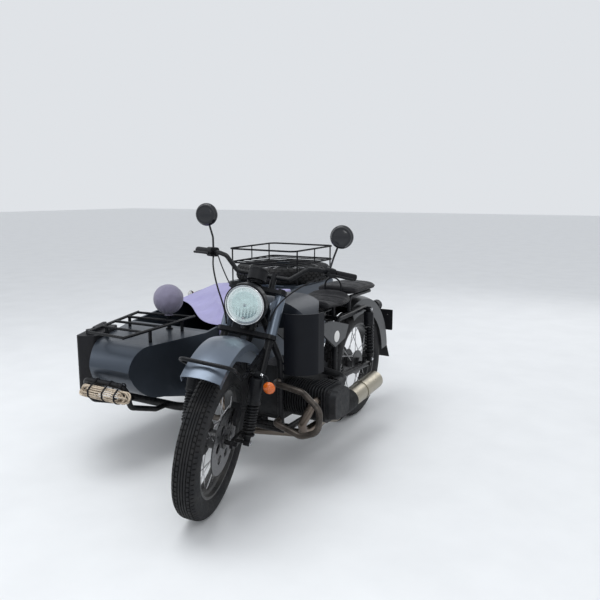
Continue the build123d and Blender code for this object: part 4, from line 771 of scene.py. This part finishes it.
# The sidecar fender's marker lamps, clear ahead and red behind
build = Build()
for degrees in (62, 124):
    out = radial(degrees)
    foot = SIDECAR_AXLE + out * SIDECAR_FENDER_R
    head = foot + out * 38
    build.lathe(foot, out, [(0, 14), (3, 14), (6, 9), (30, 8)], 0, 24)
    build.lathe(head - 7 * Y, Y, [(0, 19), (2, 21), (12, 21), (14, 19)], 0, 40)
    dome = [(5, 19.4)] + [(7 + 12.5 * sin(pi / 2 * k / 8), 19.4 * cos(pi / 2 * k / 8)) for k in range(9)]
    build.lathe(head, -Y, dome, 1, 40)
    build.lathe(head, Y, dome, 2, 40)
build.make("fender_lamps", "plastic clear red", "chassis", ["marker_lamps"])

TAIL_LAMP = REAR_AXLE + radial(140) * (REAR_FENDER_R + 52)
TAIL_R = 31
build = Build()
face = [(26.5 + 3.5 * (1 - (r / TAIL_R) ** 2) + 0.4 * sin(r), r) for r in range(TAIL_R - 1, 0, -1)]
build.lathe(TAIL_LAMP, Y, [(26.1, TAIL_R)] + face)
build.make("tail_lamp_lens", "red", "chassis")

# The blank number plate
PLATE_Y, PLATE_Z = 435.2, 540
PLATE_W, PLATE_H, PLATE_T = 186, 136, 0.9
build = Build()
outline = []
for k in range(64):
    angle = tau * k / 64
    x, z = PLATE_W * cos(angle), PLATE_H * sin(angle)
    outline.append((max(-PLATE_W / 2, min(PLATE_W / 2, x)), max(-PLATE_H / 2, min(PLATE_H / 2, z))))
build.grid([[(x, y, PLATE_Z + z) for x, z in outline] for y in (PLATE_Y, PLATE_Y + PLATE_T)], cap=True)
build.make("plate_face", "plate", "chassis")


# -------- instrument, mirrors, sticker
# The speedometer's bezel, face, marks and needle
YOKE_TOP = 1060.3
DIAL = FOOT + AXIS * (YOKE_TOP + 64) + AHEAD * 72
DIAL_START, DIAL_STEP, DIAL_MARKS = 225, 11.25, 25
MARK_OUTER = 38.5
build = Build()
build.lathe(DIAL, AXIS, [(-6, 44.8), (-6, 46.4), (1.6, 46.4), (2.6, 45), (2.4, 41.5), (0.4, 41)], 1, 64)
build.lathe(DIAL, AXIS, [(0.1, 41.3), (0.5, 41.3)], 0, 64)
for k in range(DIAL_MARKS):
    angle = radians(DIAL_START - DIAL_STEP * k)
    out = X * cos(angle) + AHEAD * sin(angle)
    across = AXIS.cross(out).normalized()
    inner, half = (31, 1.0) if k % 4 == 0 else (34.5, 0.5)
    ends = ((inner, -half), (MARK_OUTER, -half), (MARK_OUTER, half), (inner, half))
    corners = [out * reach + across * side for reach, side in ends]
    build.grid([[DIAL + AXIS * height + corner for corner in corners] for height in (0.5, 0.9)], 2, cap=True)
needle = (X * cos(radians(DIAL_START)) + AHEAD * sin(radians(DIAL_START))).normalized()
pivot = DIAL + AXIS * 1.2
build.tube([pivot - needle * 8, pivot, pivot + needle * 32], [1.4, 1.4, 0.5], 3, 8)
build.lathe(DIAL, AXIS, [(0.5, 4.5), (2, 4.5), (2.4, 3)], 1, 24)
build.make("dial", "dial black white amber", "steering")

# The mirrors' bezels, glass and domed backs
build = Build()
mirror_back = [(-3, 55.7), (4, 55.7), (10, 53), (16, 47.5), (21, 39), (24.5, 27), (26.4, 13), (26.8, 3)]
for side in (-340, 340):
    mirror_at = (side, -944, 1235)
    build.lathe(mirror_at, Y, [(-1, 54.5), (2.2, 54.5), (3, 53), (1.6, 51.2), (1.2, 50.4)], 1, 56)
    build.lathe(mirror_at, Y, [(1.2, 50.8), (1.5, 50.8)], 0, 56)
    build.lathe(mirror_at, -Y, mirror_back, 2, 72)
build.make("mirror_glasses", "mirror black gloss_black", "steering")

build = Build()
build.lathe((164, -546, 628), X, [(0, 31), (0.5, 30.8), (0.7, 30.2)], sides=72)
build.make("round_sticker", "white", "chassis")


# -------- saddles
def power(value, exponent):
    """A power that keeps the sign."""
    return copysign(abs(value) ** exponent, value)


def between(points, value):
    """Smooth interpolation through (position, value) pairs."""
    for (a, level_a), (b, level_b) in zip(points, points[1:]):
        if value <= b:
            return level_a + (level_b - level_a) * smooth(a, b, value)
    return points[-1][1]


WELT_R = 2.6
WELT_LIFT = 0.05
SEAM_DEPTH, SEAM_HALF_W = 4.5, 4.5
SIDE_ROUND, TOP_ROUND = 0.42, 0.62


def cushion(name, ends, half_width, top, bottom, node, seams):
    """A crowned pad: a rounded section drawn along Y, closed at both ends, with piping and sewn channels."""
    build = Build()
    rows, welt_left, welt_right = [], [], []
    count, sides = 72, 64
    y0, y1 = ends
    for i in range(count + 1):
        y = y0 + (y1 - y0) * (0.5 - 0.5 * cos(pi * i / count))
        close = max(0.0, 1 - abs(2 * (y - y0) / (y1 - y0) - 1) ** 9) ** 0.42
        w = max(0.5, between(half_width, y) * (0.1 + 0.9 * close))
        low, high = between(bottom, y), between(top, y)
        middle, half = (low + high) / 2, max(0.5, (high - low) / 2 * (0.15 + 0.85 * close**0.6))
        row = []
        for k in range(sides):
            angle = tau * k / sides
            x = w * power(cos(angle), SIDE_ROUND)
            z = middle + half * power(sin(angle), TOP_ROUND)
            if sin(angle) > 0:
                inward = abs(x) / w
                z += 5.5 * (1 - inward**2) * close - 3.5 * inward**6
                for seam in seams:
                    off = (y - seam - 10 * (1 - inward)) / SEAM_HALF_W
                    z -= SEAM_DEPTH * exp(-(off**2)) * (1 - inward**4)
                z += 1.2 * wave_at(x / 60, y / 60, 3)
            row.append((x, y, z))
        rows.append(row)
        welt_right.append((w + 0.6, y, middle + half * WELT_LIFT))
        welt_left.append((-w - 0.6, y, middle + half * WELT_LIFT))
    build.grid(rows, cap=True)
    build.tube(welt_right + welt_left[::-1], WELT_R, 1, 8, loop=True)
    pad = build.make(name, "vinyl piping", "chassis", [node], sharp=60)


cushion(
    "rider_pad", (-630, -288),
    half_width=[(-632, 76), (-545, 118), (-400, 143), (-284, 134)],
    top=[(-632, 830), (-470, 800), (-360, 812), (-284, 838)],
    bottom=[(-634, 800), (-560, 770), (-330, 772), (-285, 796)],
    node="rider_saddle", seams=(-548, -472, -396),
)
cushion(
    "pillion_pad", (-262, 90),
    half_width=[(-262, 126), (90, 126)],
    top=[(-266, 852), (-90, 854), (94, 846)],
    bottom=[(-262, 807), (90, 807)],
    node="pillion_saddle", seams=(-180, -90, 0),
)


# -------- cockpit cover
# The cockpit's sides, the cloth's slanting front hem, and the rim's (Y, Z) at both ends of its slope
LEFT, RIGHT = -455.0, -1030.0
HEM_NEAR, HEM_BACK = -772.0, 332
RIM_FRONT, RIM_REAR = (-880.0, 645.0), (-60.0, 760.0)
RIM_SLOPE = (RIM_REAR[1] - RIM_FRONT[1]) / (RIM_REAR[0] - RIM_FRONT[0])
SKIRT = [(2.6, -62 + 7 * k) for k in range(9)] + [(2.2, 1.0), (0.6, 4.6)]
EDGE_IN, EDGE_UP = 3, 6.4
CLOTH_COLUMNS, CLOTH_ROWS = 78, 120
TENT_RISE = 25
FOLDS_FROM = Vector((-452, -790))


def rim_height(y):
    """The cockpit rim, which rises to the boot."""
    return min(RIM_REAR[1], RIM_FRONT[1] + (y - RIM_FRONT[0]) * RIM_SLOPE)


def tonneau_surface():
    """The cloth: near skirt, a low tent over the cockpit with folds from its near front corner, far skirt."""
    across = [(LEFT + out, drop) for out, drop in SKIRT] + [(LEFT - EDGE_IN, EDGE_UP)]
    wide = RIGHT - LEFT + 2 * EDGE_IN
    across += [(LEFT - EDGE_IN + wide * k / CLOTH_COLUMNS, None) for k in range(1, CLOTH_COLUMNS)]
    across += [(RIGHT + EDGE_IN, EDGE_UP)] + [(RIGHT - out, drop) for out, drop in reversed(SKIRT)]
    rows = []
    for i in range(CLOTH_ROWS + 1):
        share = i / CLOTH_ROWS
        row = []
        for x, drop in across:
            side = (x - LEFT) / (RIGHT - LEFT)
            start = HEM_NEAR + HEM_BACK * smooth(0.05, 1, side)
            y = start - start * share
            base = rim_height(y)
            if drop is None:
                inside = min(1.0, min(abs(x - LEFT), abs(x - RIGHT)) / 130)
                rise = TENT_RISE * smooth(0, 1, inside) * sin(pi * share**1.5) * (1 - 0.3 * side)
                away = Vector((x, y)) - FOLDS_FROM
                heading = atan2(-away.x, away.y) + 0.12 * wave_at(x / 200, y / 200, 1)
                crest = abs(sin(heading * 4.3 + 0.5)) ** 0.7
                fold = (15 - 26 * crest) * smooth(20, 260, away.length)
                fold += 5 * wave_at(x / 120, y / 170, 7) + 2.4 * wave_at(x / 34, y / 70, 11)
                z = base + 5.4 + rise + fold * inside * (0.35 + 0.65 * smooth(0, 0.1, share))
                row.append((x, y, max(z, base + 3.0) if inside < 0.4 else z))
            else:
                loose = (2.2 + 2 * wave_at(y / 60, drop / 30, x)) * (1 - max(0.0, drop) / 8) * smooth(0, 60, -drop)
                hang = drop * (1 + 0.12 * wave_at(y / 90, 5, x)) if drop < 0 else drop
                row.append((x + (loose if side < 0.5 else -loose), y, base + hang))
        rows.append(row)
    return rows


def as_cloth(name, mat, node, rows, thickness, closed=True, offset=-1):
    """A sheet of cloth with its thickness, in place of its solid."""
    build = Build()
    build.grid(rows, closed=closed)
    sheet = build.make(name, mat, "chassis", [node], sharp=80)
    shell = sheet.modifiers.new("cloth thickness", "SOLIDIFY")
    shell.thickness, shell.offset = thickness, offset
    return sheet


tonneau = as_cloth(
    "tonneau_cloth", "tonneau", "tonneau", tonneau_surface(), 0.0016, closed=False, offset=1,
)


# -------- covered spotlight
BALL = Vector((-698, -904, 812))
BALL_R = 82
# The rows that lie on the ball, and the angle from its top at which they end
BALL_SHARE = 0.86
BALL_END = pi * 0.9
TIE_R = 15
STEM_FOOT = Vector((-698, -904, 647))


def cover_rows():
    """A cloth ball: smooth over the top, gathered into pleats above its tie and flaring below it."""
    rows = []
    rings, sides = 74, 160
    for ring in range(rings + 1):
        share = ring / rings
        on_ball = share < BALL_SHARE
        if on_ball:
            polar = BALL_END * share / BALL_SHARE
            r, z = BALL_R * sin(polar), BALL_R * cos(polar)
        else:
            t = (share - BALL_SHARE) / (1 - BALL_SHARE)
            neck = BALL_R * sin(BALL_END)
            r = neck + (TIE_R - neck) * smooth(0, 0.45, t) + 9 * smooth(0.5, 1, t)
            z = BALL_R * cos(BALL_END) - 11 * t
        pleat = smooth(0.5, 0.85, share) * (3.2 if on_ball else 1.8)
        row = []
        for k in range(sides):
            angle = tau * k / sides
            x, y = cos(angle), sin(angle)
            phase = 17 * angle + 2.2 * wave_at(x * 1.4, y * 1.4, 2)
            depth = pleat * (0.6 + 0.6 * wave_at(x * 3, y * 3, 9))
            wrinkle = 2.2 * wave_at(x * 2.2, y * 2.2, z / 34) + 0.9 * wave_at(x * 6, y * 6, z / 16)
            reach = max(2.0 if ring else 0.01, r + depth * sin(phase) + wrinkle * min(1, r / 30))
            row.append(BALL + Vector((reach * x, reach * y, z)))
        rows.append(row)
    return rows


cover = as_cloth("lamp_cover", "lamp_cloth", "spotlight", cover_rows(), 0.0012)
build = Build()
build.lathe(STEM_FOOT, Z, [(0, 11), (76, 11), (84, 14), (92, 14)], 0, 32)
build.lathe(STEM_FOOT - Z, Z, [(0, 20), (5, 20), (7, 12), (11, 12)], 0, 32)
build.lathe(STEM_FOOT + 90 * Z, Z, [(-4, 14), (-2, 16.8), (1, 17), (3, 14)], 1, 32)
build.make("spotlight_stem", "black rubber", "chassis")


# -------- rope hank
# The hank hangs against the nose guard's tube, which leans back, on the tube's lower front side
GUARD_Y, GUARD_Z, GUARD_R = -1402.0, 465.0, 14.0
GUARD_FOOT_Y, GUARD_FOOT_Z = -1345, 340
HANK_R = 33.0
HANK_TURN = radians(37)
LEAN = atan2(GUARD_FOOT_Y - GUARD_Y, GUARD_Z - GUARD_FOOT_Z)
HANK_OFF = (HANK_R + GUARD_R + 0.3) / sin(LEAN + HANK_TURN)
HANK_Y = GUARD_Y - HANK_OFF * sin(HANK_TURN)
HANK_Z = GUARD_Z - HANK_OFF * cos(HANK_TURN)
# Where the rope starts, and how far its runs reach each way before their ends are tucked in
ROPE_START, NEAR_END, FAR_END = -516, -514, -791
ROPE_D = 8.0
ROPE_STEP = 0.0022
RUNS = 16
# The ring that the runs lie on, the share that rounds a fold's corners, and the turn between two runs
RING = 28.6
FOLD = 0.414
TURN_BACK = radians(202.5)
TUCKS = (0, 5, 2, 7, 4, 1, 6, 3)
TUCK_STEP = 8.7
TIES_AT = (-560, -640, -735)
TIE_CORD_R, TIE_PITCH = 1.9, 3.4


def hank_route():
    """The rope's control points: runs along X that fold back round wide ends, each end a little further in."""

    def place(x, angle, reach=1.0):
        return Vector((x, HANK_Y + RING * reach * cos(angle), HANK_Z + RING * reach * sin(angle)))

    route = []
    here = ROPE_START
    for run in range(RUNS):
        angle = TURN_BACK * run + 0.35
        outward = -1 if run % 2 == 0 else 1
        tuck = TUCK_STEP * TUCKS[run // 2]
        there = FAR_END + tuck if run % 2 == 0 else NEAR_END - tuck
        for share in (0.03, 0.3, 0.62, 0.97):
            wobble = 0.9 * wave_at(run * 3.1, share * 4, 1)
            route.append(place(here + (there - here) * share, angle + 0.03 * wobble))
        if run < RUNS - 1:
            for along, back, reach in ((FOLD, 0, 1), (1, 0, FOLD), (1, 1, FOLD), (FOLD, 1, 1)):
                route.append(place(there + outward * RING * along, angle + TURN_BACK * back, reach))
        here = there
    return route


def spline_object(name, route):
    """A NURBS spline through control points in millimetres, and the points of its line in metres."""
    curve = bpy.data.curves.new(name, "CURVE")
    curve.dimensions = "3D"
    curve.resolution_u = 10
    spline = curve.splines.new("NURBS")
    spline.points.add(len(route) - 1)
    for control, point in zip(spline.points, route):
        control.co = (*to_row(point), 1)
    spline.order_u = 3
    spline.use_endpoint_u = True
    obj = put(name, curve)
    bpy.context.view_layer.update()
    return obj, [v.co.copy() for v in bpy.data.meshes.new_from_object(obj).vertices]


def resample(points, step):
    """Points at even steps along a line."""
    out, carry = [points[0]], 0.0
    for a, b in zip(points, points[1:]):
        length = (b - a).length
        while carry + length >= step:
            need = step - carry
            a = a + (b - a) * (need / length)
            length -= need
            carry = 0.0
            out.append(a.copy())
        carry += length
    return out


def laid(i, angle):
    """Three twisted strands."""
    return 0.9 + 0.14 * abs(cos(1.5 * (angle - i * 0.55)))


def tie_outline(x):
    """A loop round the hank and the guard's tube."""
    apart = Vector((GUARD_Y - HANK_Y, GUARD_Z - HANK_Z))
    heading = atan2(apart.y, apart.x)
    hank_r, guard_r = HANK_R + 1, GUARD_R + 2
    split = acos((hank_r - guard_r) / apart.length)
    outline = []
    for k in range(33):
        a = heading + split + (tau - 2 * split) * k / 32
        outline.append((x + 1.5 * sin(k), HANK_Y + hank_r * cos(a), HANK_Z + hank_r * sin(a)))
    for k in range(13):
        a = heading - split + 2 * split * k / 12
        outline.append((x, GUARD_Y + guard_r * cos(a), GUARD_Z + guard_r * sin(a)))
    return outline


line_object, rope_line = spline_object("rope_line", hank_route())
bpy.data.objects.remove(line_object)
rope_path = resample(rope_line, ROPE_STEP)
build = Build()
build.tube([to_source(p) for p in rope_path], ROPE_D / 2, 0, 12, shape=laid)
rope = build.make("tow_rope", "rope", "chassis", ["rope_hank"], sharp=80)
build = Build()
for end, inner in ((rope_path[0], rope_path[6]), (rope_path[-1], rope_path[-7])):
    end = to_source(end)
    away = (to_source(inner) - end).normalized()
    build.lathe(end - away * 2.5, away, [(0, 2.6), (1.2, 4.3), (14, 4.5), (15, 3.4)], 0, 20)
whipping = build.make("rope_whipping", "rubber", "chassis")
build = Build()
for at in TIES_AT:
    for shift in (-TIE_PITCH, 0, TIE_PITCH):
        build.tube([(x + shift, y, z) for x, y, z in tie_outline(at)], TIE_CORD_R, 0, 8, loop=True)
ties = build.make("rope_ties", "rubber", "chassis")


# -------- control cables
def cable(name, diameter, route):
    """A control cable on the steered front, from a lever into the fork cover, with a ferrule at the lever."""
    piece, line = spline_object(name, [TURN @ Vector(point) for point in route])
    piece.data.bevel_depth = diameter / 2 / MM
    piece.data.bevel_resolution = 4
    piece.data.materials.append(M["rubber"])
    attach(piece, "steering")
    build = Build()
    begin = Vector(route[0])
    toward = (Vector(route[1]) - begin).normalized()
    build.lathe(begin - toward * 2, toward, [(0, 5.5), (10, 5.5), (12, 4.6), (26, diameter / 2 + 0.4)], 0, 20)
    ferrule = build.make(f"{name}_ferrule", "black", "steering")


cable("brake_hose", 8, [
    (-288, -926, 1036), (-276, -962, 1030), (-240, -1048, 1000), (-190, -1108, 930), (-140, -1140, 860),
    (-112, -1152, 800), (-104, -1160, 770),
])
cable("throttle_cable", 6, [
    (-280, -920, 1050), (-252, -965, 1052), (-200, -1050, 1020), (-130, -1120, 960), (-70, -1150, 900),
    (-30, -1150, 880),
])
cable("clutch_cable", 7, [
    (288, -926, 1036), (274, -965, 1030), (225, -1050, 1005), (160, -1110, 950), (110, -1140, 880),
    (100, -1155, 820),
])


# -------- stage
FLOOR_HALF_W, FLOOR_Z = 40, -0.001
WORLD_LIGHT, WORLD_SEEN = 0.76, 0.8
floor_mesh = bpy.data.meshes.new("floor")
corners = [(x * FLOOR_HALF_W, y * FLOOR_HALF_W, FLOOR_Z) for x, y in ((-1, -1), (1, -1), (1, 1), (-1, 1))]
floor_mesh.from_pydata(corners, [], [(0, 1, 2, 3)])
put("floor", floor_mesh)
n = Finish("floor_pale")
n.colour(n.mix(n.patches(3, 4), (0.8, 0.81, 0.82), (0.84, 0.85, 0.86)))
n.rough(0.7, 0.8, 5)
floor_mesh.materials.append(n.mat)

world = bpy.data.worlds.new("studio")
SCENE.world = world
world.use_nodes = True
sky = Tree(world.node_tree)
rays = sky.add("ShaderNodeLightPath").outputs
shiny = sky.math("MAXIMUM", rays["Is Glossy Ray"], rays["Is Transmission Ray"])
seen = sky.math("MAXIMUM", rays["Is Camera Ray"], shiny)
background = sky.tree.nodes["Background"]
sky.feed(background.inputs["Color"], (0.93, 0.96, 1))
sky.feed(background.inputs["Strength"], sky.span(seen, 0, 1, WORLD_LIGHT, WORLD_SEEN))

bpy.context.view_layer.update()
